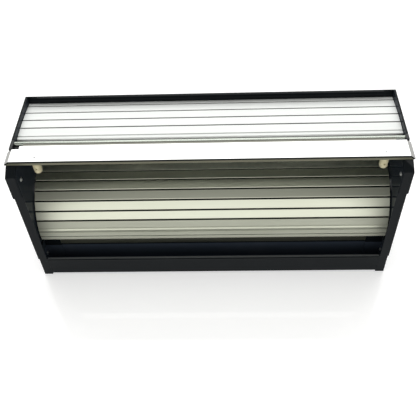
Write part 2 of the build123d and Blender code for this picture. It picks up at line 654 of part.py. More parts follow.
def hinge_block(side):
    """Black block at one end of the hinge: a trough under the rod and a head with a blind bearing."""
    head_y = HEAD_FRONT_YS[side > 0]
    head_z = UNDER_FLAP_Z + 0.2
    with BuildPart() as block:
        with BuildSketch(Plane.YZ.offset(side * BLOCK_X)) as section:
            with BuildLine():
                Polyline((BLOCK_FRONT_Y, BLOCK_LOW_Z), (BLOCK_REAR_Y, BLOCK_LOW_Z), (BLOCK_REAR_Y, SADDLE_Z),
                         (BLOCK_FRONT_Y, SADDLE_Z), close=True)
            make_face()
            fillet(section.vertices(), BLOCK_ROUND)
        extrude(amount=side * (FOOT_X - BLOCK_X))
        with BuildSketch(Plane.YZ.offset(side * BLOCK_X)):
            with Locations((HINGE_Y, HINGE_Z)):
                Circle(ROD_R + SADDLE_GAP)
        extrude(amount=side * (FOOT_X - BLOCK_X), mode=Mode.SUBTRACT)
        with BuildSketch(Plane.YZ.offset(side * HEAD_X)):
            with Locations(((head_y + BLOCK_REAR_Y) / 2, (head_z + HEIGHT) / 2)):
                RectangleRounded(BLOCK_REAR_Y - head_y, HEIGHT - head_z, BLOCK_ROUND)
        extrude(amount=side * (CAP_X - HEAD_X))
        with BuildSketch(Plane.YZ.offset(side * HEAD_X)):
            with Locations((HINGE_Y, HINGE_Z)):
                Circle(JOURNAL_R + JOURNAL_GAP)
        extrude(amount=side * BEARING_DEPTH, mode=Mode.SUBTRACT)
        with BuildSketch(Plane.YZ.offset(side * BLOCK_X)):
            with Locations(*BLOCK_SCREWS):
                Circle(RIVET_R + HOLE_GAP)
        extrude(amount=side * (FOOT_X - BLOCK_X), mode=Mode.SUBTRACT)
        with BuildSketch(Plane.YZ.offset(side * BLOCK_X)):
            with Locations(*BLOCK_SCREWS):
                Circle(RIVET_HEAD_R + 0.1)
        extrude(amount=side * BLOCK_SINK, mode=Mode.SUBTRACT)
    return block.part


def block_screws():
    """Screws sunk into the hinge blocks from inside, through the end walls."""
    with BuildPart() as screws:
        for side in (-1, 1):
            with BuildSketch(Plane.YZ.offset(side * CAP_X)):
                with Locations(*BLOCK_SCREWS):
                    Circle(RIVET_R)
            extrude(amount=side * (BLOCK_X + BLOCK_SINK - CAP_X))
            with BuildSketch(Plane.YZ.offset(side * (BLOCK_X + BLOCK_SINK))):
                with Locations(*BLOCK_SCREWS):
                    Circle(RIVET_HEAD_R)
            extrude(amount=-side * (BLOCK_SINK - 0.6))
    return screws.part


def hinge_rod():
    """Round rod the flap turns on, with a smaller journal at each end."""
    shoulder = HEAD_X - ROD_END_GAP
    with BuildPart() as rod:
        with BuildSketch(Plane.YZ.offset(-shoulder)):
            with Locations((HINGE_Y, HINGE_Z)):
                Circle(ROD_R)
        extrude(amount=2 * shoulder)
        with BuildSketch(Plane.YZ.offset(-shoulder - JOURNAL_LENGTH)):
            with Locations((HINGE_Y, HINGE_Z)):
                Circle(JOURNAL_R)
        extrude(amount=2 * (shoulder + JOURNAL_LENGTH))
    return rod.part


def front_flap():
    """Flap: one sheet with sloping wings at its ends and a hem folded down along the lip."""
    under = FLAP_SHEET / cos(atan2(HEIGHT - WING_Z, FLAP_X - WING_IN_X))
    top = [(-FLAP_X, WING_Z), (-WING_IN_X, HEIGHT), (WING_IN_X, HEIGHT), (FLAP_X, WING_Z)]
    sheet = top + [(FLAP_X, WING_Z - under), (WING_IN_X - 0.9, HEIGHT - FLAP_SHEET),
                   (-WING_IN_X + 0.9, HEIGHT - FLAP_SHEET), (-FLAP_X, WING_Z - under)]
    hem = top + [(FLAP_X, HEM_LOW_Z), (-FLAP_X, HEM_LOW_Z)]
    notch_x = BLOCK_X - 0.6
    notch_y = BLOCK_FRONT_Y - 0.7
    front = LIP_Y + LIP_STRIP
    with BuildPart() as flap:
        with BuildSketch(Plane.XZ.offset(-front)):
            with BuildLine():
                Polyline(*sheet, close=True)
            make_face()
        extrude(amount=front - FLAP_REAR_Y)
        with BuildSketch(Plane.XZ.offset(-front)):
            with BuildLine():
                Polyline(*hem, close=True)
            make_face()
        extrude(amount=-SKIN)
        with BuildSketch(Plane.XY.offset(HEIGHT)):
            with Locations((-(notch_x + FLAP_X + 1.0) / 2, (notch_y + FLAP_REAR_Y + 1.0) / 2)):
                Rectangle(FLAP_X + 1.0 - notch_x, FLAP_REAR_Y + 1.0 - notch_y)
        extrude(amount=HEM_LOW_Z - HEIGHT, mode=Mode.SUBTRACT)
        with BuildSketch(Plane.XY.offset(HEIGHT)):
            with Locations(*[(x, BUMPER_Y) for x in BUMPER_XS]):
                Circle(SCREW_R + HOLE_GAP)
        extrude(amount=-FLAP_SHEET, mode=Mode.SUBTRACT)
        lip = flap.edges().filter_by(Axis.X).group_by(Axis.Z)[-1].sort_by(Axis.Y)[0]
        fillet(lip, LIP_ROUND)
    return flap.part


def lip_band(front, ends):
    """Band on the flap's front face, mirrored about the middle from the corners of its right half."""
    with BuildPart() as band:
        with BuildSketch(Plane.XZ.offset(-front)):
            with BuildLine():
                Polyline(*ends, *[(-x, z) for x, z in reversed(ends)], close=True)
            make_face()
        extrude(amount=front - LIP_Y - LIP_STRIP)
    return band.part


def wing_meets(drop, z):
    """Where a line the given drop below the flap's outline reaches a level, along the sloping end."""
    return WING_IN_X + (HEIGHT - drop - z) * (FLAP_X - WING_IN_X) / (HEIGHT - WING_Z)


def lip_edging():
    """Black edging along the flap's front edge and down its sloping ends."""
    end_x = FLAP_X - EDGING_INSET
    return lip_band(LIP_Y + EDGING_INSET, [(WING_IN_X, HEIGHT - EDGING),
                                  (wing_meets(EDGING, HEM_LOW_Z), HEM_LOW_Z), (end_x, HEM_LOW_Z),
                                  (end_x, WING_Z - EDGING_INSET / 2), (WING_IN_X, HEIGHT - EDGING_INSET)])


def lip_strip():
    """Dark bronze strip below the black edging."""
    drop = EDGING + 0.05
    low = HEM_LOW_Z + 0.1
    return lip_band(LIP_Y, [(wing_meets(drop, low), low), (WING_IN_X, HEIGHT - drop)])


def hinge_leaf():
    """Leaf under the flap that curls round the rod from below, along its whole length."""
    bore = ROD_R + HOLE_GAP
    arm_end_y = HINGE_Y - bore
    with BuildPart() as leaf:
        with BuildSketch(Plane.YZ.offset(-LEAF_X)):
            with Locations((HINGE_Y, HINGE_Z)):
                Circle(bore + SHEET)
            with Locations(((LEAF_FRONT_Y + arm_end_y) / 2, HEIGHT - FLAP_SHEET - SHEET / 2)):
                Rectangle(arm_end_y - LEAF_FRONT_Y, SHEET)
            with Locations((HINGE_Y, HINGE_Z)):
                Circle(bore, mode=Mode.SUBTRACT)
            with Locations((HINGE_Y + LEAF_MOUTH[0] / 4, HINGE_Z + LEAF_MOUTH[1] / 2)):
                Rectangle(*LEAF_MOUTH, mode=Mode.SUBTRACT)
        extrude(amount=2 * LEAF_X)
    return leaf.part


def flap_bumper(side):
    """Cream bumper under the flap's lip, round-ended, which is also the finger grip."""
    with BuildPart() as bumper:
        with BuildSketch(Plane.XY.offset(BUMPER_LOW_Z)):
            with Locations((BUMPER_XS[side > 0], BUMPER_Y)):
                Circle(BUMPER_R)
        extrude(amount=HEIGHT - FLAP_SHEET - BUMPER_LOW_Z)
        fillet(bumper.edges().group_by(Axis.Z)[0], BUMPER_ROUND)
        with BuildSketch(Plane.XY.offset(HEIGHT - FLAP_SHEET)):
            with Locations((BUMPER_XS[side > 0], BUMPER_Y)):
                Circle(SCREW_R)
        extrude(amount=-BUMPER_SCREW, mode=Mode.SUBTRACT)
    return bumper.part


def bumper_screws():
    """Flush screws that hold the bumpers to the flap."""
    with BuildPart() as screws:
        for side in (-1, 1):
            with BuildSketch(Plane.XY.offset(HEIGHT)):
                with Locations((BUMPER_XS[side > 0], BUMPER_Y)):
                    Circle(SCREW_R)
            extrude(amount=-FLAP_SHEET - BUMPER_SCREW)
    return screws.part


def lamp_plane():
    """Plane through the lamp's axis, local x along the hood and local y upwards."""
    return Plane(origin=(0, LAMP_Y, LAMP_Z), x_dir=(1, 0, 0), z_dir=(0, -1, 0))


def spun(points):
    """Solid of revolution about the lamp's axis from (distance along, radius) points."""
    with BuildPart() as turned:
        with BuildSketch(lamp_plane()):
            with BuildLine():
                Polyline(*points, close=True)
            make_face()
        revolve(axis=Axis((0, LAMP_Y, LAMP_Z), (1, 0, 0)))
    return turned.part


def lamp_envelope():
    """Hollow quartz tube with tapered ends and a flat pinch seal at each end."""
    shoulder = [(BULB_HALF, BULB_R), (BULB_HALF + 9.0, BULB_R * 0.62), (BULB_HALF + 15.0, BULB_R * 0.4)]
    hollow = [(x - 2.0, r - BULB_WALL) for x, r in shoulder[:2]]
    outer = [(-x, r) for x, r in reversed(shoulder)] + shoulder
    inner = hollow[::-1] + [(-x, r) for x, r in hollow]
    neck = [(BULB_END_X, PINCH[1]), (BULB_END_X, 0.0), (BULB_TIP_X, 0.0), (BULB_TIP_X, PINCH[1] / 2)]
    with BuildPart() as envelope:
        add(spun([(-x, r) for x, r in neck[1::-1]] + outer + neck + inner
                 + [(-x, r) for x, r in neck[:1:-1]]))
        for side in (-1, 1):
            with BuildSketch(Plane.YZ.offset(side * (BULB_END_X - 3.0))):
                with Locations((LAMP_Y, LAMP_Z)):
                    RectangleRounded(*PINCH, 1.5)
            extrude(amount=side * (SEAL_END_X - BULB_END_X + 3.0))
    return envelope.part


def arc_tube():
    """Small discharge tube at the middle of the lamp."""
    half = [(44.0, 6.4), (50.0, 3.0), (ARC_HALF, 2.2), (ARC_HALF, 0.0)]
    return spun([(-x, r) for x, r in reversed(half)] + half)


def lamp_wires():
    """Supply wires from the pinch seals to the arc tube."""
    with BuildPart() as wires:
        for side in (-1, 1):
            with BuildSketch(Plane.YZ.offset(side * ARC_HALF)):
                with Locations((LAMP_Y, LAMP_Z)):
                    Circle(WIRE_R)
            extrude(amount=side * (BULB_TIP_X - ARC_HALF))
    return wires.part


def lamp_caps():
    """Ceramic end caps of the lamp, each with its contact pin."""
    with BuildPart() as caps:
        for side in (-1, 1):
            with BuildSketch(Plane.YZ.offset(side * SEAL_END_X)):
                with Locations((LAMP_Y, LAMP_Z)):
                    Circle(LAMP_CAP_R)
            extrude(amount=side * LAMP_CAP_LENGTH)
            with BuildSketch(Plane.YZ.offset(side * (SEAL_END_X + LAMP_CAP_LENGTH))):
                with Locations((LAMP_Y, LAMP_Z)):
                    Circle(PIN_R)
            extrude(amount=side * (PIN_END_X - SEAL_END_X - LAMP_CAP_LENGTH))
    return caps.part


def lampholder(side):
    """Ceramic lampholder, with a blind socket for the lamp's pin and a finned back."""
    core_width = HOLDER_WIDTH - 2 * HOLDER_GROOVE[1]
    core_height = HOLDER_HEIGHT - 2 * HOLDER_GROOVE[1]
    with BuildPart() as holder:
        with BuildSketch(Plane.YZ.offset(side * HOLDER_X)):
            with Locations((LAMP_Y, LAMP_Z)):
                RectangleRounded(HOLDER_WIDTH, HOLDER_HEIGHT, HOLDER_ROUND)
        extrude(amount=side * HOLDER_LENGTH)
        for station in HOLDER_GROOVES:
            with BuildSketch(Plane.YZ.offset(side * (HOLDER_X + station))):
                with Locations((LAMP_Y, LAMP_Z)):
                    RectangleRounded(HOLDER_WIDTH, HOLDER_HEIGHT, HOLDER_ROUND)
                    RectangleRounded(core_width, core_height, HOLDER_ROUND / 2, mode=Mode.SUBTRACT)
            extrude(amount=side * HOLDER_GROOVE[0], mode=Mode.SUBTRACT)
        with BuildSketch(Plane.YZ.offset(side * HOLDER_X)):
            with Locations((LAMP_Y, LAMP_Z)):
                Circle(PIN_R + 0.1)
        extrude(amount=side * SOCKET_DEPTH, mode=Mode.SUBTRACT)
    return holder.part


def holder_bracket(side):
    """Folded bracket that carries a lampholder from the end plate."""
    back = HOLDER_X + HOLDER_LENGTH
    fold = [(back, LAMP_Z - HOLDER_WIDTH / 2), (back, ARM_Z), (FOOT_X, ARM_Z), (FOOT_X, LAMP_Z + 4.0)]
    with BuildPart() as bracket:
        with BuildSketch(Plane.XZ.offset(-LAMP_Y + ARM_HALF)):
            with BuildLine():
                Polyline(*[(side * x, z) for x, z in along(fold, -SHEET)], close=True)
            make_face()
        extrude(amount=-2 * ARM_HALF)
        with BuildSketch(Plane.YZ.offset(side * FOOT_X)):
            with Locations(*HOLDER_RIVETS):
                Circle(RIVET_R + HOLE_GAP)
        extrude(amount=-side * SHEET, mode=Mode.SUBTRACT)
    return bracket.part


def hexagon_y(x, z, y, length, across, bore):
    """Hexagonal collar along Y with a round bore, flat to flat size given."""
    with BuildPart() as collar:
        with BuildSketch(Plane.XZ.offset(-y)):
            with Locations((x, z)):
                RegularPolygon(across, 6, major_radius=False)
                Circle(bore, mode=Mode.SUBTRACT)
        extrude(amount=-length)
    return collar.part


def cable_gland():
    """Body of the mains gland: a threaded tube through the rear wall with a hexagonal collar."""
    with BuildPart() as gland:
        add(hexagon_y(INLET_X, INLET_Z, REAR_Y, LOCKNUT, GLAND_HEX, GLAND_BORE_R))
        with BuildSketch(Plane.XZ.offset(-REAR_Y)):
            with Locations((INLET_X, INLET_Z)):
                Circle(GLAND_THREAD_R)
                Circle(GLAND_BORE_R, mode=Mode.SUBTRACT)
        extrude(amount=11.0)
    return gland.part


def gland_nut():
    """Domed nut that closes the gland's seal."""
    with BuildPart() as nut:
        with BuildSketch(Plane.XZ.offset(-REAR_Y - LOCKNUT)):
            with Locations((INLET_X, INLET_Z)):
                Circle(GLAND_HEX - 1.2)
        extrude(amount=LOCKNUT - GLAND_OUT)
        fillet(nut.edges().group_by(Axis.Y)[-1], 4.0)
        with BuildSketch(Plane.XZ.offset(-REAR_Y - LOCKNUT)):
            with Locations((INLET_X, INLET_Z)):
                Circle(GLAND_BORE_R)
        extrude(amount=LOCKNUT - GLAND_OUT, mode=Mode.SUBTRACT)
    return nut.part


def terminal_block():
    """Three-way terminal block on the rear wall, with a wire way through each pole."""
    face = REAR_Y - SHEET - TERMINAL_DEPTH
    with BuildPart() as block:
        with BuildSketch(Plane.XZ.offset(-face)):
            with Locations((TERMINAL_X, TERMINAL_Z + TERMINAL_SIZE[1] / 2)):
                RectangleRounded(*TERMINAL_SIZE, 1.0)
        extrude(amount=-TERMINAL_DEPTH)
        with BuildSketch(Plane.XZ.offset(-face)):
            with Locations(*TERMINAL_SPOTS):
                Circle(WAY_R)
        extrude(amount=-WAY_DEPTH, mode=Mode.SUBTRACT)
    return block.part


def terminal_screws():
    """Clamp screws of the terminal block."""
    seat = REAR_Y - SHEET - TERMINAL_DEPTH + WAY_DEPTH
    with BuildPart() as screws:
        with BuildSketch(Plane.XZ.offset(-seat)):
            with Locations(*TERMINAL_SPOTS):
                Circle(WAY_R - 0.2)
        extrude(amount=WAY_DEPTH - 1.4)
    return screws.part


def lead(side, x_start, z_run):
    """Insulated lead from the terminal block, along the rear wall and down to a lampholder."""
    holder_x = HOLDER_X + HOLDER_LENGTH / 2
    drop_x = side * LEAD_X
    path = [(x_start, LEAD_RUN_Y, TERMINAL_Z), (x_start, LEAD_RUN_Y, z_run), (drop_x, LEAD_RUN_Y, z_run),
            (drop_x, LEAD_Y, z_run - 8.0), (drop_x, LEAD_Y, LAMP_Z), (side * holder_x, LEAD_Y, LAMP_Z),
            (side * holder_x, LAMP_Y + HOLDER_WIDTH / 2, LAMP_Z)]
    with BuildPart() as wire:
        with BuildLine():
            FilletPolyline(*path, radius=LEAD_BEND)
        with BuildSketch(Plane(origin=path[0], z_dir=(0, 0, -1))):
            Circle(LEAD_R)
        sweep()
    return wire.part


def lead_clips():
    """Plastic clips that hold the long lead to the rear wall."""
    with BuildPart() as clips:
        for x in LEAD_CLIP_XS:
            with BuildSketch(Plane.YZ.offset(x - 4.0)):
                with Locations((LEAD_RUN_Y, RIGHT_LEAD_Z)):
                    Circle(LEAD_R + 1.6)
                with Locations(((LEAD_RUN_Y + REAR_Y - SHEET) / 2, RIGHT_LEAD_Z)):
                    Rectangle(REAR_Y - SHEET - LEAD_RUN_Y, 2 * LEAD_R)
                with Locations((LEAD_RUN_Y, RIGHT_LEAD_Z)):
                    Circle(LEAD_R + 0.1, mode=Mode.SUBTRACT)
            extrude(amount=8.0)
    return clips.part


os.makedirs("parts", exist_ok=True)

for side, word in ((-1, "left"), (1, "right")):
    save(shoulder_cap(side), f"shoulder_cap_{word}")
    save(end_plate(side), f"end_plate_{word}")
    save(foot_rail(side), f"foot_rail_{word}")
    save(corner_bracket(side), f"corner_bracket_{word}")
    save(hinge_block(side), f"hinge_block_{word}")
    save(end_reflector(side), f"end_reflector_{word}")
    save(flap_bumper(side), f"flap_bumper_{word}")
    save(lampholder(side), f"lampholder_{word}")
    save(holder_bracket(side), f"holder_bracket_{word}")

save(rear_wall(), "rear_wall")
save(top_deck(), "top_deck")
save(header_rail(), "header_rail")
save(front_channel(), "front_channel")
save(sill_strip(), "sill_strip")

save(front_reflector(), "front_reflector")
save(rear_reflector(), "rear_reflector")
save(ridge_strip(), "ridge_strip")
save(reflector_hangers(), "reflector_hangers")

save(front_flap(), "front_flap")
save(lip_strip(), "lip_strip")
save(lip_edging(), "lip_edging")
save(hinge_leaf(), "hinge_leaf")
save(hinge_rod(), "hinge_rod")
save(bumper_screws(), "bumper_screws")

save(lamp_envelope(), "lamp_envelope")
save(arc_tube(), "arc_tube")
save(lamp_wires(), "lamp_wires")
save(lamp_caps(), "lamp_caps")

save(side_rivets(), "side_rivets")
save(ridge_rivets(), "ridge_rivets")
save(block_screws(), "block_screws")
save(screws_along_y(REAR_SCREWS, REAR_Y, 3.6, 1), "rear_screws")
save(screws_along_y([(x, DECK_SCREW_Z) for x in DECK_SCREW_XS], DECK_FRONT_Y - SHEET, 6.0, -1),
     "deck_screws")
save(screws_along_y(SILL_SCREWS, UPRIGHT_Y + SHEET + SKIN, SHEET + SKIN, 1), "sill_screws")

save(cable_gland(), "cable_gland")
save(gland_nut(), "gland_nut")
save(hexagon_y(INLET_X, INLET_Z, REAR_Y - SHEET - LOCKNUT, LOCKNUT, GLAND_HEX, GLAND_THREAD_R + HOLE_GAP),
     "gland_locknut")
save(terminal_block(), "terminal_block")
save(terminal_screws(), "terminal_screws")
save(lead(-1, TERMINAL_X - 10.0, LEFT_LEAD_Z), "lead_left")
save(lead(1, TERMINAL_X + 10.0, RIGHT_LEAD_Z), "lead_right")
save(lead_clips(), "lead_clips")
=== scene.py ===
"""Grow lamp hood: finishes, detailed pieces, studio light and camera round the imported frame, in metres."""

import json
from math import cos, pi, radians, sin, tan

import bmesh
import bpy
from mathutils import Matrix, Vector


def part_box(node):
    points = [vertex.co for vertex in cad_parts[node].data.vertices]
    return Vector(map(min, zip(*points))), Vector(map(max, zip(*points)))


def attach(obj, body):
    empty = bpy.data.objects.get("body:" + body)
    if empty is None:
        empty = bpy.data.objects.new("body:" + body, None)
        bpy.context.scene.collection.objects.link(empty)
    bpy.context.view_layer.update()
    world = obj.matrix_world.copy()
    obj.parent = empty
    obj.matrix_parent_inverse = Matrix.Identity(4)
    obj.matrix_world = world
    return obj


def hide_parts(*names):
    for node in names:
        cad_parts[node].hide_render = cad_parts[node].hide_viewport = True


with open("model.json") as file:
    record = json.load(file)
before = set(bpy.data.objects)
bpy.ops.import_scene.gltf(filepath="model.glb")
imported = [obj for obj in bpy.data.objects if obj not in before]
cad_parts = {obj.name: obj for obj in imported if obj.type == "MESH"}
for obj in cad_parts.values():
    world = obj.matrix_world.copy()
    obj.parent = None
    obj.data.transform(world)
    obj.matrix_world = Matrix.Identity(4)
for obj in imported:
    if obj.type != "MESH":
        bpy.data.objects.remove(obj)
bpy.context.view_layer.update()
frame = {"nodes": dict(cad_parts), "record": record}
NODES = frame["nodes"]

MM = 0.001
EASE = 0.2 * MM  # half the width over which one region's shade passes into the next


# ---------------------------------------------------------------------------------------------
# Node helpers
# ---------------------------------------------------------------------------------------------

def place(tree):
    """Coordinates fixed to the object, in metres."""
    return tree.nodes.new("ShaderNodeTexCoord").outputs["Object"]


def split(tree, vector):
    """The X, Y and Z parts of a vector."""
    made = tree.nodes.new("ShaderNodeSeparateXYZ")
    tree.links.new(vector, made.inputs[0])
    return made.outputs


def facing(tree):
    """The X, Y and Z parts of the object's own normal."""
    return split(tree, tree.nodes.new("ShaderNodeTexCoord").outputs["Normal"])


def noise(tree, scale, stretch=(1.0, 1.0, 1.0), detail=4.0, offset=0.0):
    """Noise from 0 to 1, stretched by dividing the coordinate along an axis."""
    mapping = tree.nodes.new("ShaderNodeMapping")
    mapping.inputs["Scale"].default_value = [1.0 / value for value in stretch]
    mapping.inputs["Location"].default_value = (offset, offset * 0.7, -offset)
    tree.links.new(place(tree), mapping.inputs["Vector"])
    made = tree.nodes.new("ShaderNodeTexNoise")
    made.inputs["Scale"].default_value = scale
    made.inputs["Detail"].default_value = detail
    made.inputs["Roughness"].default_value = 0.55
    tree.links.new(mapping.outputs["Vector"], made.inputs["Vector"])
    return made.outputs["Fac"]


def spread(tree, value, low, high, to_low=0.0, to_high=1.0):
    """The value mapped from one range to another, smoothly, and kept inside it."""
    made = tree.nodes.new("ShaderNodeMapRange")
    made.interpolation_type = "SMOOTHSTEP"
    for name, number in (("From Min", low), ("From Max", high), ("To Min", to_low), ("To Max", to_high)):
        made.inputs[name].default_value = number
    tree.links.new(value, made.inputs["Value"])
    return made.outputs["Result"]


def blend_colours(tree, factor, first, second):
    """Colour that runs from the first to the second with the factor."""
    made = tree.nodes.new("ShaderNodeMix")
    made.data_type = "RGBA"
    tree.links.new(factor, made.inputs[0])
    for index, colour in ((6, first), (7, second)):
        if isinstance(colour, tuple):
            made.inputs[index].default_value = (*colour, 1.0)
        else:
            tree.links.new(colour, made.inputs[index])
    return made.outputs[2]


def combine(tree, operation, first, second):
    """Arithmetic on two values or a value and a number."""
    made = tree.nodes.new("ShaderNodeMath")
    made.operation = operation
    for index, value in enumerate((first, second)):
        if isinstance(value, float):
            made.inputs[index].default_value = value
        else:
            tree.links.new(value, made.inputs[index])
    return made.outputs[0]


def unsigned(tree, value):
    """The value without its sign."""
    return combine(tree, "ABSOLUTE", value, 0.0)


def below(tree, value, limit):
    """One where a place along an axis is under a limit, nought over it."""
    return spread(tree, value, limit - EASE, limit + EASE, 1.0, 0.0)


def between(tree, value, low, high):
    """One where a place along an axis lies between two limits, nought outside them."""
    rise = spread(tree, value, low - EASE, low + EASE)
    return combine(tree, "MULTIPLY", rise, below(tree, value, high))


def bump(tree, height, distance, under=None):
    """Normal from a height field of 0 to 1 that is so many metres deep."""
    made = tree.nodes.new("ShaderNodeBump")
    made.inputs["Distance"].default_value = distance
    tree.links.new(height, made.inputs["Height"])
    if under is not None:
        tree.links.new(under, made.inputs["Normal"])
    return made.outputs["Normal"]


def start(name, **constants):
    """New material, its tree and its shader, with constant sockets set by name."""
    made = bpy.data.materials.new(name)
    made.use_nodes = True
    shader = made.node_tree.nodes["Principled BSDF"]
    for socket, value in constants.items():
        shader.inputs[socket.replace("_", " ")].default_value = value
    return made, made.node_tree, shader


def connect(tree, shader, colour, roughness, normal):
    """Link the three sockets that nearly every finish drives."""
    for name, output in (("Base Color", colour), ("Roughness", roughness), ("Normal", normal)):
        tree.links.new(output, shader.inputs[name])


def laid_over(made, factor, shade):
    """The finish with another shade over it where the factor is one."""
    tree = made.node_tree
    colour = tree.nodes["Principled BSDF"].inputs["Base Color"]
    tree.links.new(blend_colours(tree, factor, colour.links[0].from_socket, shade), colour)
    return made


# ---------------------------------------------------------------------------------------------
# Finishes: one function for each kind, and the enamel's dust, painted light and painted highlights
# ---------------------------------------------------------------------------------------------

CHANNEL_LOW, CHANNEL_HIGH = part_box("front_channel")
PLATE_LOW, PLATE_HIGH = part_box("end_plate_right")
BAR_TOP = PLATE_LOW.z  # the front bar ends level with the foot of the end plates
# Where the enamel carries painted light (end walls, trough) and painted highlights (the bar's two folds)
WALL_X = (PLATE_LOW.x - 5.2 * MM, PLATE_HIGH.x - 0.6 * MM)  # inner faces of the ends, foot rails included
TROUGH_Y = (CHANNEL_LOW.y + 1.75 * MM, CHANNEL_HIGH.y - 0.35 * MM)
TROUGH_TOP = BAR_TOP - 1.5 * MM
TROUGH_END = CHANNEL_HIGH.x - 0.2 * MM
BAR_REAR = CHANNEL_LOW.y + 4.75 * MM
BAR_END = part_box("foot_rail_right")[0].x - 0.3 * MM  # the bar's clear length ends at the foot rails
TOP_FOLD_Z = (BAR_TOP - 0.2 * MM, BAR_TOP + 0.6 * MM)
LOW_FOLD_Z = (BAR_TOP - 5.0 * MM, BAR_TOP - 4.1 * MM)
HAZE_Z = (62.0 * MM, 78.0 * MM)  # the reflector's bright metal turns hazy going down through this


def gloss_enamel():
    """Black stoved enamel with orange peel and dust, painted light on the end walls and in the trough, and
    painted highlights on the bar's folds.
    """
    made, tree, shader = start("gloss_enamel", Coat_Weight=0.32, Coat_Roughness=0.06, Coat_IOR=1.4,
                               Specular_IOR_Level=0.0)
    spot = split(tree, place(tree))
    out = unsigned(tree, spot["X"])
    # painted light: the end walls and the trough are lighter than the rest of the enamel, with dust over it
    walls = combine(tree, "MULTIPLY", spread(tree, unsigned(tree, facing(tree)["X"]), 0.6, 0.8),
                    between(tree, out, *WALL_X))
    trough = combine(tree, "MULTIPLY", below(tree, out, TROUGH_END),
                     combine(tree, "MULTIPLY", below(tree, spot["Z"], TROUGH_TOP),
                             between(tree, spot["Y"], *TROUGH_Y)))
    bar = combine(tree, "MULTIPLY", below(tree, spot["Y"], BAR_REAR), below(tree, out, BAR_END))
    dust_and_shade = spread(tree, noise(tree, 18.0, detail=9.0), 0.5, 0.78)
    shade = blend_colours(tree, dust_and_shade, (0.0056, 0.0074, 0.0088), (0.0082, 0.0102, 0.0118))
    for region, lit_clean, lit_dusty in ((walls, (0.019, 0.024, 0.031), (0.025, 0.030, 0.037)),
                                 (trough, (0.036, 0.046, 0.064), (0.046, 0.056, 0.074))):
        shade = blend_colours(tree, region, shade, blend_colours(tree, dust_and_shade, lit_clean, lit_dusty))
    # painted highlights along the bar's top fold and lower fold
    for fold, painted_highlight in ((TOP_FOLD_Z, (0.075, 0.080, 0.082)), (LOW_FOLD_Z, (0.026, 0.029, 0.029))):
        line = combine(tree, "MULTIPLY", bar, between(tree, spot["Z"], *fold))
        shade = blend_colours(tree, line, shade, painted_highlight)
    rub = noise(tree, 45.0, stretch=(3.0, 1.0, 1.0), detail=8.0, offset=3.0)
    connect(tree, shader, shade, spread(tree, rub, 0.3, 0.75, 0.27, 0.36),
            bump(tree, noise(tree, 520.0, detail=1.0), 0.012 * MM))
    return made


def moulded_black(name, shade, low, high, shine=0.35):
    """Black plastic or rubber with the fine grain of its mould."""
    made, tree, shader = start(name, Specular_IOR_Level=shine)
    mottle = noise(tree, 90.0, detail=6.0)
    lighter = tuple(value * 1.7 for value in shade)
    connect(tree, shader, blend_colours(tree, spread(tree, mottle, 0.4, 0.75), shade, lighter),
            spread(tree, mottle, 0.3, 0.7, low, high), bump(tree, noise(tree, 1800.0, detail=2.0), 0.04 * MM))
    return made


def rolled_aluminium(name, bright, dull, rough, metal=1.0, seam=(0.05, 0.05, 0.045), wave=0.1 * MM, grain=0.0,
                     haze=None):
    """Rolled sheet: faint streaks, cloudy patches, a slow wave, painted shade in the seams, and a haze below
    a level.
    """
    made, tree, shader = start(name, Metallic=metal, Anisotropic=grain)
    if grain:
        tangent = tree.nodes.new("ShaderNodeTangent")
        tangent.direction_type = "UV_MAP"
        tangent.uv_map = "run"
        tree.links.new(tangent.outputs[0], shader.inputs["Tangent"])
    if haze:
        height = split(tree, place(tree))["Z"]
        tree.links.new(spread(tree, height, *haze, 0.3, metal), shader.inputs["Metallic"])
    streaks = noise(tree, 420.0, stretch=(60.0, 1.0, 1.0), detail=5.0)
    clouds = noise(tree, 9.0, detail=5.0, offset=1.7)
    mottle = combine(tree, "ADD", combine(tree, "MULTIPLY", streaks, 0.6),
                     combine(tree, "MULTIPLY", clouds, 0.4))
    sheet = blend_colours(tree, spread(tree, mottle, 0.3, 0.7), dull, bright)
    # the seam attribute lays painted shade in the grooves and on two reflector slats
    depth = tree.nodes.new("ShaderNodeAttribute")
    depth.attribute_name = "seam"
    polish = spread(tree, streaks, 0.25, 0.75, rough - 0.03, rough + 0.04)
    slow = bump(tree, noise(tree, 7.0, stretch=(2.5, 1.0, 1.0), detail=1.0, offset=5.0), wave)
    connect(tree, shader, blend_colours(tree, depth.outputs["Fac"], sheet, seam),
            combine(tree, "ADD", polish, combine(tree, "MULTIPLY", depth.outputs["Fac"], 0.4)),
            bump(tree, streaks, 0.0015 * MM, under=slow))
    return made


def shaded_below(made, shade):
    """The finish with another colour on its underside, which is painted shade where that colour is darker."""
    tree = made.node_tree
    return laid_over(made, spread(tree, facing(tree)["Z"], -0.5, -0.1, 1.0, 0.0), shade)


def flap_sheet():
    """The flap's bright rolled sheet, with painted shade on its sloping ends and on its underside."""
    made = rolled_aluminium("flap_aluminium", (0.93, 0.93, 0.92), (0.89, 0.90, 0.89), 0.3)
    tree = made.node_tree
    shaded_slopes = spread(tree, unsigned(tree, facing(tree)["X"]), 0.3, 0.5)
    return shaded_below(laid_over(made, shaded_slopes, (0.40, 0.40, 0.39)), (0.20, 0.21, 0.19))


def anodised_and_shaded(name, bright, dull, rough):
    """Tinted metal strip with die lines along it: anodising in most uses, painted shade for bronze_strip."""
    made, tree, shader = start(name, Metallic=0.55)
    lines = noise(tree, 900.0, stretch=(90.0, 1.0, 1.0), detail=4.0)
    connect(tree, shader, blend_colours(tree, spread(tree, lines, 0.35, 0.7), dull, bright),
            spread(tree, lines, 0.3, 0.7, rough - 0.06, rough + 0.08), bump(tree, lines, 0.02 * MM))
    return made


def plated(name, bright, dull, rough, grain=500.0):
    """Zinc, nickel or brass with a crystalline mottle."""
    made, tree, shader = start(name, Metallic=1.0)
    mottle = noise(tree, grain, detail=4.0)
    connect(tree, shader, blend_colours(tree, spread(tree, mottle, 0.35, 0.68), dull, bright),
            spread(tree, mottle, 0.3, 0.7, rough - 0.06, rough + 0.1), bump(tree, mottle, 0.02 * MM))
    return made


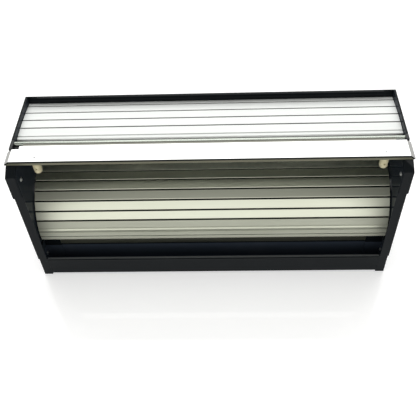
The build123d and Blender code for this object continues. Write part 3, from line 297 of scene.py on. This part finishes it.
def cream_rubber():
    """Cream rubber, a little darker in patches, with a matt skin."""
    made, tree, shader = start("cream_rubber", Sheen_Weight=0.1)
    mottle = noise(tree, 220.0, detail=6.0)
    patches = spread(tree, mottle, 0.35, 0.7)
    connect(tree, shader, blend_colours(tree, patches, (0.46, 0.41, 0.25), (0.60, 0.55, 0.36)),
            spread(tree, mottle, 0.3, 0.7, 0.55, 0.7), bump(tree, noise(tree, 1500.0, detail=2.0), 0.05 * MM))
    return made


def fired_ceramic(name, shade, stain):
    """Unglazed ceramic with faint firing stains."""
    made, tree, shader = start(name, Subsurface_Weight=0.05)
    stains = noise(tree, 70.0, detail=7.0)
    connect(tree, shader, blend_colours(tree, spread(tree, stains, 0.5, 0.8), shade, stain),
            spread(tree, stains, 0.3, 0.7, 0.42, 0.6), bump(tree, noise(tree, 1200.0, detail=3.0), 0.04 * MM))
    return made


def clear_quartz():
    """Clear quartz with a breath of bloom on it."""
    made, tree, shader = start("clear_quartz", Transmission_Weight=1.0, IOR=1.46,
                               Base_Color=(0.97, 0.98, 0.99, 1.0))
    bloom = noise(tree, 40.0, detail=6.0)
    tree.links.new(spread(tree, bloom, 0.5, 0.8, 0.02, 0.14), shader.inputs["Roughness"])
    return made


def soft_plastic(name, shade, dull, rough):
    """Silicone or moulded plastic in a pale shade."""
    made, tree, shader = start(name)
    mottle = noise(tree, 130.0, detail=6.0)
    connect(tree, shader, blend_colours(tree, spread(tree, mottle, 0.4, 0.75), shade, dull),
            spread(tree, mottle, 0.3, 0.7, rough - 0.08, rough + 0.08),
            bump(tree, noise(tree, 1600.0, detail=2.0), 0.03 * MM))
    return made


FINISHES = {
    "black_steel": gloss_enamel(),
    "black_block": moulded_black("moulded_block", (0.010, 0.011, 0.012), 0.35, 0.5),
    # the deck's underside carries painted shade
    "deck_aluminium": shaded_below(
        rolled_aluminium("deck_aluminium", (0.84, 0.86, 0.84), (0.80, 0.82, 0.80), 0.5, metal=0.15,
                         seam=(0.04, 0.04, 0.038), wave=0.03 * MM), (0.30, 0.31, 0.28)),
    "reflector_aluminium": rolled_aluminium(
        "reflector_aluminium", (0.84, 0.86, 0.72), (0.80, 0.82, 0.68), 0.42, seam=(0.025, 0.025, 0.022),
        wave=0.03 * MM, grain=0.9, haze=HAZE_Z),
    "inner_aluminium": rolled_aluminium("inner_aluminium", (0.90, 0.90, 0.89), (0.85, 0.85, 0.84), 0.14),
    "flap_aluminium": flap_sheet(),
    # bronze_strip is painted shade: a dark strip where the reflector's lowest facet lies in shade
    "bronze_strip": anodised_and_shaded("bronze_strip", (0.100, 0.104, 0.080), (0.060, 0.064, 0.050), 0.36),
    "lip_bronze": anodised_and_shaded("lip_bronze", (0.19, 0.185, 0.13), (0.13, 0.13, 0.09), 0.4),
    "leaf_bronze": shaded_below(
        anodised_and_shaded("leaf_bronze", (0.27, 0.27, 0.23), (0.21, 0.21, 0.18), 0.4), (0.80, 0.81, 0.76)),
    "black_rubber": moulded_black("black_rubber", (0.010, 0.010, 0.010), 0.6, 0.75, shine=0.1),
    "rod_aluminium": rolled_aluminium("rod_aluminium", (0.43, 0.46, 0.41), (0.37, 0.40, 0.36), 0.24),
    "cream_rubber": cream_rubber(),
    "quartz": clear_quartz(),
    "arc_ceramic": fired_ceramic("arc_ceramic", (0.88, 0.86, 0.80), (0.72, 0.68, 0.58)),
    "white_ceramic": fired_ceramic("white_ceramic", (0.84, 0.83, 0.78), (0.70, 0.66, 0.56)),
    "zinc_steel": plated("zinc_steel", (0.62, 0.63, 0.62), (0.45, 0.46, 0.46), 0.36, 240.0),
    "black_plastic": moulded_black("black_plastic", (0.014, 0.014, 0.015), 0.4, 0.55),
    "lead_silicone": soft_plastic("lead_silicone", (0.66, 0.64, 0.57), (0.52, 0.50, 0.43), 0.5),
    "terminal_plastic": soft_plastic("terminal_plastic", (0.78, 0.77, 0.70), (0.68, 0.66, 0.58), 0.42),
    "brass_screw": plated("brass_screw", (0.78, 0.60, 0.28), (0.58, 0.42, 0.18), 0.3),
    "nickel_wire": plated("nickel_wire", (0.74, 0.73, 0.70), (0.6, 0.59, 0.56), 0.25),
    "bright_fastener": plated("bright_fastener", (0.50, 0.51, 0.50), (0.40, 0.41, 0.41), 0.3),
}

SLOT_OF = {part["node"]: part["material_slot"] for part in frame["record"]["subparts"]}
BODY_OF = {node: body for body, members in frame["record"]["behaviour"]["bodies"].items() for node in members}

EASED_WIDTH = 0.3 * MM
EASED_NODES = ("shoulder_cap_left", "shoulder_cap_right", "end_plate_left", "end_plate_right",
               "foot_rail_left", "foot_rail_right", "rear_wall", "header_rail", "front_channel",
               "corner_bracket_left", "corner_bracket_right", "hinge_block_left", "hinge_block_right",
               "front_flap", "sill_strip", "lip_strip", "lampholder_left", "lampholder_right",
               "holder_bracket_left", "holder_bracket_right", "terminal_block", "hinge_leaf", "lip_edging")


def dress(piece, slot_name):
    """Give a piece its finish, in place of whatever its mesh came with."""
    piece.data.materials.clear()
    piece.data.materials.append(FINISHES[slot_name])


def ease_edges(piece):
    """Rolled edges on a CAD piece: its corners are joined, bevelled and shaded by face area."""
    weld = piece.modifiers.new("weld", "WELD")
    weld.merge_threshold = 0.004 * MM
    flat = piece.modifiers.new("flat", "DECIMATE")
    flat.decimate_type = "DISSOLVE"
    flat.angle_limit = radians(0.5)
    bevel = piece.modifiers.new("bevel", "BEVEL")
    bevel.width = EASED_WIDTH
    bevel.segments = 2
    bevel.limit_method = "ANGLE"
    bevel.angle_limit = radians(32)
    bevel.use_clamp_overlap = True
    shading = piece.modifiers.new("shading", "WEIGHTED_NORMAL")
    shading.weight = 60


for node_name, node in NODES.items():
    dress(node, SLOT_OF[node_name])

for node_name in EASED_NODES:
    ease_edges(NODES[node_name])


# ---------------------------------------------------------------------------------------------
# Mesh helpers
# ---------------------------------------------------------------------------------------------

def add_piece(name, shape, *nodes, crease=38.0):
    """Object made from a finished bmesh. It rides with the CAD nodes it stands for, in their finish."""
    mesh = bpy.data.meshes.new(name)
    shape.to_mesh(mesh)
    shape.free()
    mesh.shade_smooth()
    mesh.set_sharp_from_angle(angle=radians(crease))
    piece = bpy.data.objects.new(name, mesh)
    bpy.context.scene.collection.objects.link(piece)
    dress(piece, SLOT_OF[nodes[0]])
    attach(piece, BODY_OF[nodes[0]])
    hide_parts(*nodes)
    return piece


def solids_of(node_name):
    """Lowest and highest corner of every separate solid in a CAD node."""
    shape = bmesh.new()
    shape.from_mesh(NODES[node_name].data)
    bmesh.ops.remove_doubles(shape, verts=shape.verts, dist=0.01 * MM)
    boxes = []
    seen = set()
    for first in shape.verts:
        if first in seen:
            continue
        seen.add(first)
        group = [first]
        for vert in group:
            for edge in vert.link_edges:
                other = edge.other_vert(vert)
                if other not in seen:
                    seen.add(other)
                    group.append(other)
        boxes.append((Vector([min(vert.co[i] for vert in group) for i in range(3)]),
                      Vector([max(vert.co[i] for vert in group) for i in range(3)])))
    shape.free()
    return boxes


def turn(shape, profile, origin, axis, segments):
    """Closed surface of revolution from (distance along the axis, radius) points.

    A radius is a number, or a function of the angle about the axis.
    """
    ahead = Vector(axis).normalized()
    side = ahead.orthogonal().normalized()
    other = ahead.cross(side)
    angles = [2 * pi * i / segments for i in range(segments)]
    rings = []
    for distance, radius in profile:
        centre = Vector(origin) + ahead * distance
        if radius == 0.0:
            rings.append([shape.verts.new(centre)])
            continue
        reach = radius if callable(radius) else (lambda angle, fixed=radius: fixed)
        rings.append([shape.verts.new(centre + (side * cos(a) + other * sin(a)) * reach(a)) for a in angles])
    faces = []
    for first, second in zip(rings, rings[1:]):
        for i in range(segments):
            j = (i + 1) % segments
            corners = [first[i % len(first)], first[j % len(first)], second[j % len(second)],
                       second[i % len(second)]]
            faces.append(shape.faces.new(list(dict.fromkeys(corners))))
    bmesh.ops.recalc_face_normals(shape, faces=faces)


def hollow_turn(shape, profile, origin, axis, segments):
    """Ring-shaped surface of revolution: the profile's last point joins its first."""
    seam_start = len(shape.verts)
    turn(shape, list(profile) + [profile[0]], origin, axis, segments)
    shape.verts.ensure_lookup_table()
    bmesh.ops.remove_doubles(shape, verts=shape.verts[seam_start:], dist=0.001 * MM)


def rounded(before, corner, after, radius):
    """Corner of an outline turned into a curve, or left as it is where it is too slight to round."""
    steps = 4
    here = Vector(corner)
    back = Vector(before) - here
    on = Vector(after) - here
    room = 0.49 * min(back.length, on.length)
    radius = min(radius, room)
    half = back.angle(on, 0.0) / 2
    if radius < 0.05 * MM or half > radians(88.5):
        return [tuple(here)]
    reach = min(radius / max(tan(half), 0.05), room)
    first, last = here + back.normalized() * reach, here + on.normalized() * reach
    made = []
    for step in range(steps + 1):
        share = step / steps
        made.append(tuple(first.lerp(here, share).lerp(here.lerp(last, share), share)))
    return made


def sheet_along_x(name, outline, seams, x_low, x_high, node):
    """Pressed sheet: a Y-Z outline run along the hood, with the painted seam shade at each point."""
    shape = bmesh.new()
    seam_layer = shape.verts.layers.float.new("seam")
    run = shape.loops.layers.uv.new("run")
    ends = []
    for x in (x_low, x_high):
        ring = [shape.verts.new((x, y, z)) for y, z in outline]
        for vert, seam in zip(ring, seams):
            vert[seam_layer] = seam
        ends.append(ring)
    for i in range(len(outline)):
        j = (i + 1) % len(outline)
        face = shape.faces.new((ends[0][i], ends[0][j], ends[1][j], ends[1][i]))
        for loop, (along, across) in zip(face.loops, ((0, 0), (0, 1), (1, 1), (1, 0))):
            loop[run].uv = (along * (x_high - x_low), i * MM + across * MM)
    for ring in ends:
        cap = shape.faces.new(ring)
        for loop in cap.loops:
            loop[run].uv = (loop.vert.co.y, loop.vert.co.z)
        bmesh.ops.triangulate(shape, faces=[cap])
    bmesh.ops.recalc_face_normals(shape, faces=shape.faces[:])
    sheet = add_piece(name, shape, node, crease=50.0)
    shading = sheet.modifiers.new("shading", "WEIGHTED_NORMAL")
    shading.weight = 90
    shading.keep_sharp = True
    return sheet


# ---------------------------------------------------------------------------------------------
# Slatted reflector and deck
# ---------------------------------------------------------------------------------------------

LIP_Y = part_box("lip_strip")[0].y  # front edge of the flap
SKIN = 1.2 * MM
SLAT_RISE = 1.2 * MM
SHARP = 0.25 * MM  # radius of an edge that is only folded
ROLLED = 1.8 * MM  # how far a slat's lower edge is rolled, along its face
ROLL_STEPS = ((0, 1.0), (18, 0.9), (40, 0.35), (65, 0.0), (90, 0.0))  # degrees, share of the seam's painted shade
ARCH_R = 81.0 * MM
ARCH_CENTRE = (LIP_Y + 96.0 * MM, 63.8 * MM)
DEGREE = ARCH_R * pi / 180  # length of one degree of the arch
SLAT_LOW = -7.0  # degrees, foot of the lowest slat
SLAT_TOP = 90.5  # degrees, upper end of the last slat
GROOVES = [(-2.0, 1.4, 1.2, 0.8), (6.0, 3.2, 0.7, 0.42), (11.0, 0.9, 0.4, 0.25)]  # degrees, mm, mm, painted shade
GROOVES += [(21.5 + 11.5 * i, 2.0, 1.2, 1.0) for i in range(6)]
SLAT_SHADE = (0.0, 0.0, 0.0, 0.30, 0.0, 0.0, 0.18, 0.0, 0.0, 0.0)  # painted shade on each slat
ARCH_LAP = 10.0 * MM  # plain strip past the last slat
INNER_BENDS = range(86, -2, -11)  # degrees, bends of the inner face
FACE_Y = CHANNEL_HIGH.y  # the foot lies against the channel's upright
HEEL_Z = CHANNEL_HIGH.z  # where the foot's inner face bends into the arch
TOE_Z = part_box("sill_strip")[1].z  # where its outer face meets the lowest slat
DECK_R = 400.0 * MM
DECK_CROWN = (LIP_Y + 80.0 * MM, 236.8 * MM)
DECK_SHOULDER = 1.0 * MM  # radius of the deck's front fold
DECK_GROOVE = 2.3 * MM
DECK_SEAMS = (0.2, 1.0, 1.0, 1.0, 1.0)  # painted shade in each groove, from the front
DECK_PITCH = 17.9 * MM
DECK_FIRST = 61.4 * MM  # first groove, from the lip


def arch(radius, angle):
    """Point on the reflector's section, at an angle above the horizontal towards the front."""
    return (ARCH_CENTRE[0] - radius * cos(radians(angle)), ARCH_CENTRE[1] + radius * sin(radians(angle)))


def crown(y, depth=0.0):
    """Point on the deck's section, a depth below its outer surface."""
    lean = (y - DECK_CROWN[0]) / DECK_R
    reach = DECK_R - depth
    return (DECK_CROWN[0] + reach * sin(lean), DECK_CROWN[1] - DECK_R + reach * cos(lean))


def run_outline(corners):
    """Outline and painted seam shade from (point, radius, seam) corners."""
    outline, seams = [], []
    for i, (point, radius, seam) in enumerate(corners):
        curve = rounded(corners[i - 1][0], point, corners[(i + 1) % len(corners)][0], radius)
        outline += curve
        seams += [seam] * len(curve)
    return outline, seams


def slatted_reflector():
    """Front half of the reflector: pressed slats with a rolled lower edge, painted shade in the seams
    between, and painted shade on two slats.
    """
    node = "front_reflector"
    low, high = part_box(node)
    valley = ARCH_R - SLAT_RISE
    inside = valley - SKIN
    corners = [(arch(ARCH_R, SLAT_LOW), SHARP, SLAT_SHADE[0])]
    for (angle, width, depth, dark), shade_before, dust_and_shade in zip(GROOVES, SLAT_SHADE, SLAT_SHADE[1:]):
        half = width * MM / 2 / DEGREE
        floor = ARCH_R - depth * MM
        corners.append((arch(ARCH_R, angle - half), SHARP, shade_before))
        corners.append((arch(floor, angle - half), 0.0, dark))
        for lift, share in ROLL_STEPS:
            rise = depth * MM * sin(radians(lift))
            on = angle + half + ROLLED / DEGREE * (1 - cos(radians(lift)))
            corners.append((arch(floor + rise, on), 0.0, share * dark or dust_and_shade))
    lap = SLAT_TOP + ARCH_LAP / DEGREE
    corners += [(arch(ARCH_R, SLAT_TOP), SHARP, 0.0), (arch(valley, SLAT_TOP), 0.0, 0.0),
                (arch(valley, lap), 0.0, 0.0), (arch(inside, lap), 0.0, 0.0)]
    corners += [(arch(inside, angle), 0.0, 0.0) for angle in INNER_BENDS]
    corners += [((FACE_Y + SKIN, HEEL_Z), 0.0, 0.0), ((FACE_Y + SKIN, low.z), SHARP, 0.0),
                ((FACE_Y, low.z), SHARP, 0.0), ((FACE_Y, TOE_Z), 0.0, 0.0)]
    outline, seams = run_outline(corners)
    sheet_along_x("slatted_reflector", outline, seams, low.x, high.x, node)


def slatted_deck():
    """Crowned deck of slats with painted shade in its seams, and its two folded flanges."""
    node = "top_deck"
    low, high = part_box(node)
    cuts = [LIP_Y + DECK_FIRST + i * DECK_PITCH for i in range(len(DECK_SEAMS))]
    corners = [(crown(low.y), DECK_SHOULDER, 0.0)]
    for y, seam in zip(cuts, DECK_SEAMS):
        first, last = y - DECK_GROOVE / 2, y + DECK_GROOVE / 2
        corners += [(crown(first), SHARP, 0.0), (crown(first, SLAT_RISE), 0.0, seam),
                    (crown(last, SLAT_RISE), 0.0, seam), (crown(last), SHARP, 0.0)]
    base = SLAT_RISE + SKIN
    corners += [(crown(high.y), SHARP, 0.0), ((high.y, low.z), SHARP, 0.0),
                ((high.y - SKIN, low.z), SHARP, 0.0), (crown(high.y - SKIN, base), 0.0, 0.0)]
    corners += [(crown(y, base), 0.0, 0.0) for y in reversed(cuts)]
    corners += [(crown(low.y + SKIN, base), 0.0, 0.0), ((low.y + SKIN, low.z), SHARP, 0.0),
                ((low.y, low.z), SHARP, 0.0)]
    outline, seams = run_outline(corners)
    sheet_along_x("slatted_deck", outline, seams, low.x, high.x, node)


slatted_reflector()
slatted_deck()


# ---------------------------------------------------------------------------------------------
# Fasteners
# ---------------------------------------------------------------------------------------------

UP, BACK, FRONT = Vector((0.0, 0.0, 1.0)), Vector((0.0, 1.0, 0.0)), Vector((0.0, -1.0, 0.0))
RIVET_R = 2.0 * MM
RIVET_HEAD_R = 3.5 * MM
SCREW_R = 1.75 * MM
THREAD_PITCH = 0.6 * MM
THREAD_ROOT = 0.86  # of the shank's radius
RECESS_FLOOR = 0.72  # of the recess's width at the top
PAN_HEAD = [(0.0, 3.35 * MM), (0.25 * MM, 3.4 * MM), (0.9 * MM, 3.3 * MM), (1.5 * MM, 2.9 * MM),
            (1.95 * MM, 2.2 * MM), (2.15 * MM, 1.2 * MM)]  # height above the seat, radius
FLAT_HEAD = [(0.0, 3.5 * MM), (2.3 * MM, 3.5 * MM), (2.6 * MM, 3.3 * MM), (2.75 * MM, 1.2 * MM)]
FLUSH_HEAD = [(0.0, SCREW_R), (1.3 * MM, SCREW_R), (1.45 * MM, 1.6 * MM)]
CLAMP_HEAD = [(0.0, 2.35 * MM), (3.2 * MM, 2.4 * MM), (3.5 * MM, 2.2 * MM)]


def fastener_places(node, ahead):
    """Centre, direction and length of each fastener of a CAD node.

    Without a direction, they point from the hood's ends towards its middle.
    """
    for low, high in solids_of(node):
        centre = (low + high) / 2
        inwards = Vector((-1.0 if centre.x > 0 else 1.0, 0.0, 0.0))
        way = inwards if ahead is None else ahead
        yield centre, way, abs((high - low).dot(way))


def domed_rivets(name, node, height, ahead=None):
    """Blind rivets with a domed flange and the dimple of the pulled stem."""
    shape = bmesh.new()
    head = RIVET_HEAD_R
    for centre, way, length in fastener_places(node, ahead):
        face = length - height
        dimple = length - 0.7 * MM
        profile = [(0.0, 0.0), (0.0, RIVET_R), (face, RIVET_R), (face, head * 0.97), (face + 0.15 * MM, head),
                   (face + 0.5 * MM, head * 0.93), (face + 1.0 * MM, head * 0.72),
                   (length - 0.15 * MM, head * 0.42), (length, head * 0.32),
                   (length - 0.08 * MM, head * 0.27), (dimple, head * 0.24), (dimple, 0.0)]
        turn(shape, profile, centre - way * (length / 2), way, 28)
    return add_piece(name, shape, node)


def carved(solid, cutter):
    """Mesh of one closed shape less another."""
    pair = []
    for shape in (solid, cutter):
        mesh = bpy.data.meshes.new("blank")
        shape.to_mesh(mesh)
        shape.free()
        pair.append(bpy.data.objects.new("blank", mesh))
        bpy.context.scene.collection.objects.link(pair[-1])
    cut = pair[0].modifiers.new("cut", "BOOLEAN")
    cut.operation = "DIFFERENCE"
    cut.solver = "EXACT"
    cut.object = pair[1]
    graph = bpy.context.evaluated_depsgraph_get()
    made = bpy.data.meshes.new_from_object(pair[0].evaluated_get(graph))
    for blank in pair:
        bpy.data.objects.remove(blank)
    return made


def cross_outline(arm, half):
    """Outline of a cross, corner by corner."""
    return [(arm, -half), (arm, half), (half, half), (half, arm), (-half, arm), (-half, half), (-arm, half),
            (-arm, -half), (-half, -half), (-half, -arm), (half, -arm), (half, -half)]


def cross_head(head, shank_r, reach, top, arm, arm_width, depth):
    """Mesh of a screw along +Z from its seat at zero, with a cross recess in its head."""
    solid = bmesh.new()
    thread = []
    rest = reach
    while rest > 0.75 * THREAD_PITCH:
        thread += [(-rest, shank_r * THREAD_ROOT), (THREAD_PITCH / 2 - rest, shank_r)]
        rest -= THREAD_PITCH
    turn(solid, [(-reach, 0.0)] + thread + [(0.0, shank_r)] + head + [(top, 0.0)], (0, 0, 0), UP, 36)
    cutter = bmesh.new()
    outline = cross_outline(arm, arm_width / 2)
    floor = [cutter.verts.new((x * RECESS_FLOOR, y * RECESS_FLOOR, top - depth)) for x, y in outline]
    rim = [cutter.verts.new((x, y, top + 0.5 * MM)) for x, y in outline]
    cutter.faces.new(floor)
    cutter.faces.new(rim)
    for i in range(len(outline)):
        j = (i + 1) % len(outline)
        cutter.faces.new((floor[i], floor[j], rim[j], rim[i]))
    bmesh.ops.recalc_face_normals(cutter, faces=cutter.faces[:])
    return carved(solid, cutter)


def stamp(shape, mesh, seat, ahead, spin):
    """Copy of a screw in a bmesh, its seat at a point, its head towards a direction."""
    before = len(shape.verts)
    shape.from_mesh(mesh)
    shape.verts.ensure_lookup_table()
    turned = ahead.to_track_quat("Z", "Y").to_matrix().to_4x4()
    place_at = Matrix.Translation(seat) @ turned @ Matrix.Rotation(spin, 4, "Z")
    bmesh.ops.transform(shape, matrix=place_at, verts=shape.verts[before:])


def screws(name, node, head, shank_r, reach, top, ahead=None, arm=1.75 * MM, arm_width=0.8 * MM,
           depth=1.3 * MM):
    """Every screw of a CAD node, each turned a little differently.

    The thread reaches so far below the seat, the top of the head lies so far above it, and the last three
    numbers are the cross recess.
    """
    mesh = cross_head(head, shank_r, reach, top, arm, arm_width, depth)
    shape = bmesh.new()
    for i, (centre, way, length) in enumerate(fastener_places(node, ahead)):
        stamp(shape, mesh, centre + way * (length / 2 - top), way, 0.7 * i + 0.3)
    return add_piece(name, shape, node)


def fasteners():
    """All rivets and screws."""
    domed_rivets("side_rivet_heads", "side_rivets", 2.0 * MM)
    domed_rivets("ridge_rivet_heads", "ridge_rivets", 1.6 * MM, UP)
    screws("rear_screw_heads", "rear_screws", PAN_HEAD, SCREW_R, 3.6 * MM, 2.2 * MM, BACK)
    screws("deck_screw_heads", "deck_screws", PAN_HEAD, SCREW_R, 6.0 * MM, 2.2 * MM, FRONT)
    screws("sill_screw_heads", "sill_screws", PAN_HEAD, SCREW_R, 2.6 * MM, 2.2 * MM, BACK)
    screws("block_screw_heads", "block_screws", FLAT_HEAD, 2.0 * MM, 10.6 * MM, 2.8 * MM)
    screws("bumper_screw_heads", "bumper_screws", FLUSH_HEAD, SCREW_R, 10.0 * MM, 1.5 * MM, UP,
           arm=1.2 * MM, arm_width=0.55 * MM, depth=0.8 * MM)
    screws("terminal_screw_heads", "terminal_screws", CLAMP_HEAD, 1.2 * MM, 0.05 * MM, 3.6 * MM, FRONT,
           arm=1.6 * MM, arm_width=0.6 * MM, depth=1.0 * MM)


fasteners()


# ---------------------------------------------------------------------------------------------
# Bumpers, rod, gland
# ---------------------------------------------------------------------------------------------

def bumpers():
    """Cream rubber bumpers: a collar under the flap, a domed end, and a small plug hole facing the front."""
    bore = SCREW_R
    for side in ("left", "right"):
        node = f"flap_bumper_{side}"
        low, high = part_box(node)
        radius = (high.x - low.x) / 2
        waist = radius * 0.985
        length = high.z - low.z
        dome = length - radius * 0.92
        profile = [(10.0 * MM, 0.0), (10.0 * MM, bore), (0.0, bore), (0.0, radius * 0.96), (0.3 * MM, radius),
                   (1.6 * MM, radius), (1.9 * MM, radius * 0.965), (2.2 * MM, radius * 0.99),
                   (dome - 0.5 * MM, radius), (dome - 0.3 * MM, waist), (dome, waist)]
        profile += [(dome + (length - dome) * sin(radians(a)), waist * cos(radians(a)))
                    for a in range(10, 85, 8)]
        profile += [(length, radius * 0.1), (length - 0.2 * MM, 0.0)]
        middle = Vector(((low.x + high.x) / 2, (low.y + high.y) / 2, high.z))
        solid = bmesh.new()
        turn(solid, profile, middle, -UP, 48)
        plug = bmesh.new()
        turn(plug, [(0.0, 0.0), (0.0, 1.3 * MM), (2.6 * MM, 1.5 * MM), (2.6 * MM, 0.0)],
             middle + Vector((0.0, -radius + 1.6 * MM, -0.6 * length)), FRONT, 24)
        shape = bmesh.new()
        shape.from_mesh(carved(solid, plug))
        add_piece(f"bumper_{side}", shape, node)


def rod():
    """Hinge rod with eased shoulders."""
    low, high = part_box("hinge_rod")
    radius = (high.z - low.z) / 2
    length = high.x - low.x
    journal = 3.4 * MM
    neck = 3.0 * MM
    profile = [(0.0, 0.0), (0.0, neck - 0.3 * MM), (0.3 * MM, neck), (journal, neck),
               (journal, radius - 0.4 * MM), (journal + 0.4 * MM, radius)]
    profile += [(length - distance, r) for distance, r in reversed(profile)]
    shape = bmesh.new()
    turn(shape, profile, (low.x, (low.y + high.y) / 2, (low.z + high.z) / 2), (1, 0, 0), 48)
    add_piece("polished_rod", shape, "hinge_rod")


GLAND_BORE = 3.6 * MM
THREAD_LENGTH = 11.0 * MM
GLAND_PITCH = 1.5 * MM
FLANGE = 4.0 * MM  # thickness of the gland's hexagon and of its locknut


def hexagon(limit):
    """Radius of the gland's hexagon, cut by a chamfer at a limit."""
    return lambda angle: min(11.0 * MM / cos((angle % (pi / 3)) - pi / 6), limit)


def hex_rim(chamfer):
    """Outside of a hexagonal flange, from its seat, with both of its rims chamfered."""
    rim, corner = hexagon(12.0 * MM), hexagon(12.7 * MM)
    return [(0.0, rim), (chamfer, corner), (FLANGE - chamfer, corner), (FLANGE, rim)]


def fluted(radius, depth):
    """Radius of a round grip with eighteen flutes."""
    return lambda angle: radius - depth * (0.5 - 0.5 * cos(18 * angle)) ** 2


def gland():
    """Mains gland: threaded body, chamfered hexagon, fluted dome nut with its seal, and locknut."""
    low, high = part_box("cable_gland")
    x, z = (low.x + high.x) / 2, (low.z + high.z) / 2
    thread = []
    for i in range(7):
        root = i * GLAND_PITCH - THREAD_LENGTH
        thread += [(root, 7.3 * MM), (root + GLAND_PITCH / 2, 7.9 * MM)]
    body = bmesh.new()
    hollow_turn(body, [(-THREAD_LENGTH, GLAND_BORE)] + thread + [(0.0, 7.6 * MM)] + hex_rim(0.7 * MM)
                + [(FLANGE, GLAND_BORE)], (x, high.y - FLANGE, z), BACK, 72)
    add_piece("gland_body", body, "cable_gland")
    nut_low, nut_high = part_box("gland_nut")
    length = nut_high.y - nut_low.y
    grip = (nut_high.x - nut_low.x) / 2
    flutes = fluted(grip, 0.7 * MM)
    nut = bmesh.new()
    hollow_turn(nut, [(0.0, GLAND_BORE), (0.0, grip - 0.3 * MM), (0.6 * MM, flutes),
                      (length - 5.5 * MM, flutes), (length - 4.2 * MM, grip - 0.7 * MM),
                      (length - 2.2 * MM, grip - 1.9 * MM),
                      (length - 0.8 * MM, grip - 3.2 * MM), (length, grip - 4.4 * MM),
                      (length, GLAND_BORE + 1.2 * MM), (length - 0.8 * MM, GLAND_BORE + 0.9 * MM),
                      (length - 0.9 * MM, GLAND_BORE)], (x, nut_low.y, z), BACK, 144)
    add_piece("gland_dome_nut", nut, "gland_nut")
    lock_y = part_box("gland_locknut")[0].y
    lock = bmesh.new()
    hollow_turn(lock, [(0.0, 8.0 * MM)] + hex_rim(0.6 * MM) + [(FLANGE, 8.0 * MM)], (x, lock_y, z), BACK, 72)
    add_piece("gland_lock_ring", lock, "gland_locknut")


bumpers()
rod()
gland()


# ---------------------------------------------------------------------------------------------
# Studio and camera
# ---------------------------------------------------------------------------------------------

def white_floor():
    """Plain pale floor with a slight polish, lit a little from within so that shadows stay pale."""
    bpy.ops.mesh.primitive_grid_add(x_subdivisions=4, y_subdivisions=4, size=40.0, location=(0, 0, 0))
    floor = bpy.context.object
    floor.name = "floor"
    made, tree, shader = start("floor", Roughness=0.5, Coat_Weight=0.6, Coat_Roughness=0.03, Coat_IOR=1.5,
                               Emission_Color=(1.0, 1.0, 1.0, 1.0), Emission_Strength=0.47)
    clouds = spread(tree, noise(tree, 3.0), 0.3, 0.7)
    shade = blend_colours(tree, clouds, (0.72, 0.72, 0.72), (0.74, 0.74, 0.74))
    tree.links.new(shade, shader.inputs["Base Color"])
    floor.data.materials.append(made)


def soft_light(name, centre, target, width, height, radiance):
    """Rectangular softbox, aimed at a point, of the given brightness per area."""
    data = bpy.data.lights.new(name, "AREA")
    data.shape = "RECTANGLE"
    data.size, data.size_y = width, height
    data.energy = radiance * width * height * pi
    lamp = bpy.data.objects.new(name, data)
    bpy.context.scene.collection.objects.link(lamp)
    lamp.location = centre
    lamp.rotation_mode = "QUATERNION"
    lamp.rotation_quaternion = (Vector(target) - Vector(centre)).to_track_quat("-Z", "Y")
    lamp.visible_camera = False


def studio_world():
    """White walls before and behind up to head height, greyer ones at the sides, and a dimmer ceiling."""
    world = bpy.data.worlds.new("studio")
    world.use_nodes = True
    bpy.context.scene.world = world
    tree = world.node_tree
    way = split(tree, tree.nodes.new("ShaderNodeTexCoord").outputs["Generated"])
    sides = spread(tree, unsigned(tree, way["X"]), 0.7, 0.88)
    walls = blend_colours(tree, sides, (1.2, 1.2, 1.18), (0.4, 0.4, 0.39))
    shade = blend_colours(tree, spread(tree, way["Z"], 0.5, 0.72), walls, (0.3, 0.3, 0.29))
    tree.links.new(shade, tree.nodes["Background"].inputs["Color"])
    tree.nodes["Background"].inputs["Strength"].default_value = 1.0


def photo_camera():
    """Camera above the front, a little to the right, tipped down at the hood."""
    spot = (0.0344, -0.6889, 0.8470)
    pitch, yaw, roll = radians(48.68), radians(-3.4), radians(-3.28)
    ahead = Vector((sin(yaw) * cos(pitch), cos(yaw) * cos(pitch), -sin(pitch)))
    level = ahead.cross(Vector((0.0, 0.0, 1.0))).normalized()
    upward = level.cross(ahead)
    right = level * cos(roll) + upward * sin(roll)
    up = upward * cos(roll) - level * sin(roll)
    data = bpy.data.cameras.new("camera")
    data.lens = 54.64
    data.sensor_width = 36.0
    camera = bpy.data.objects.new("camera", data)
    bpy.context.scene.collection.objects.link(camera)
    attitude = Matrix((right, up, -ahead)).transposed()
    camera.matrix_world = Matrix.Translation(spot) @ attitude.to_4x4()
    bpy.context.scene.camera = camera


white_floor()
studio_world()
soft_light("rear_card", (0.0, 2.3, 2.5), (0.0, 0.0, 0.1), 4.6, 2.2, 1.5)
soft_light("overhead", (0.0, 0.3, 2.6), (0.0, 0.0, 0.0), 2.0, 1.6, 2.2)
photo_camera()
bpy.context.scene.view_settings.view_transform = "Standard"
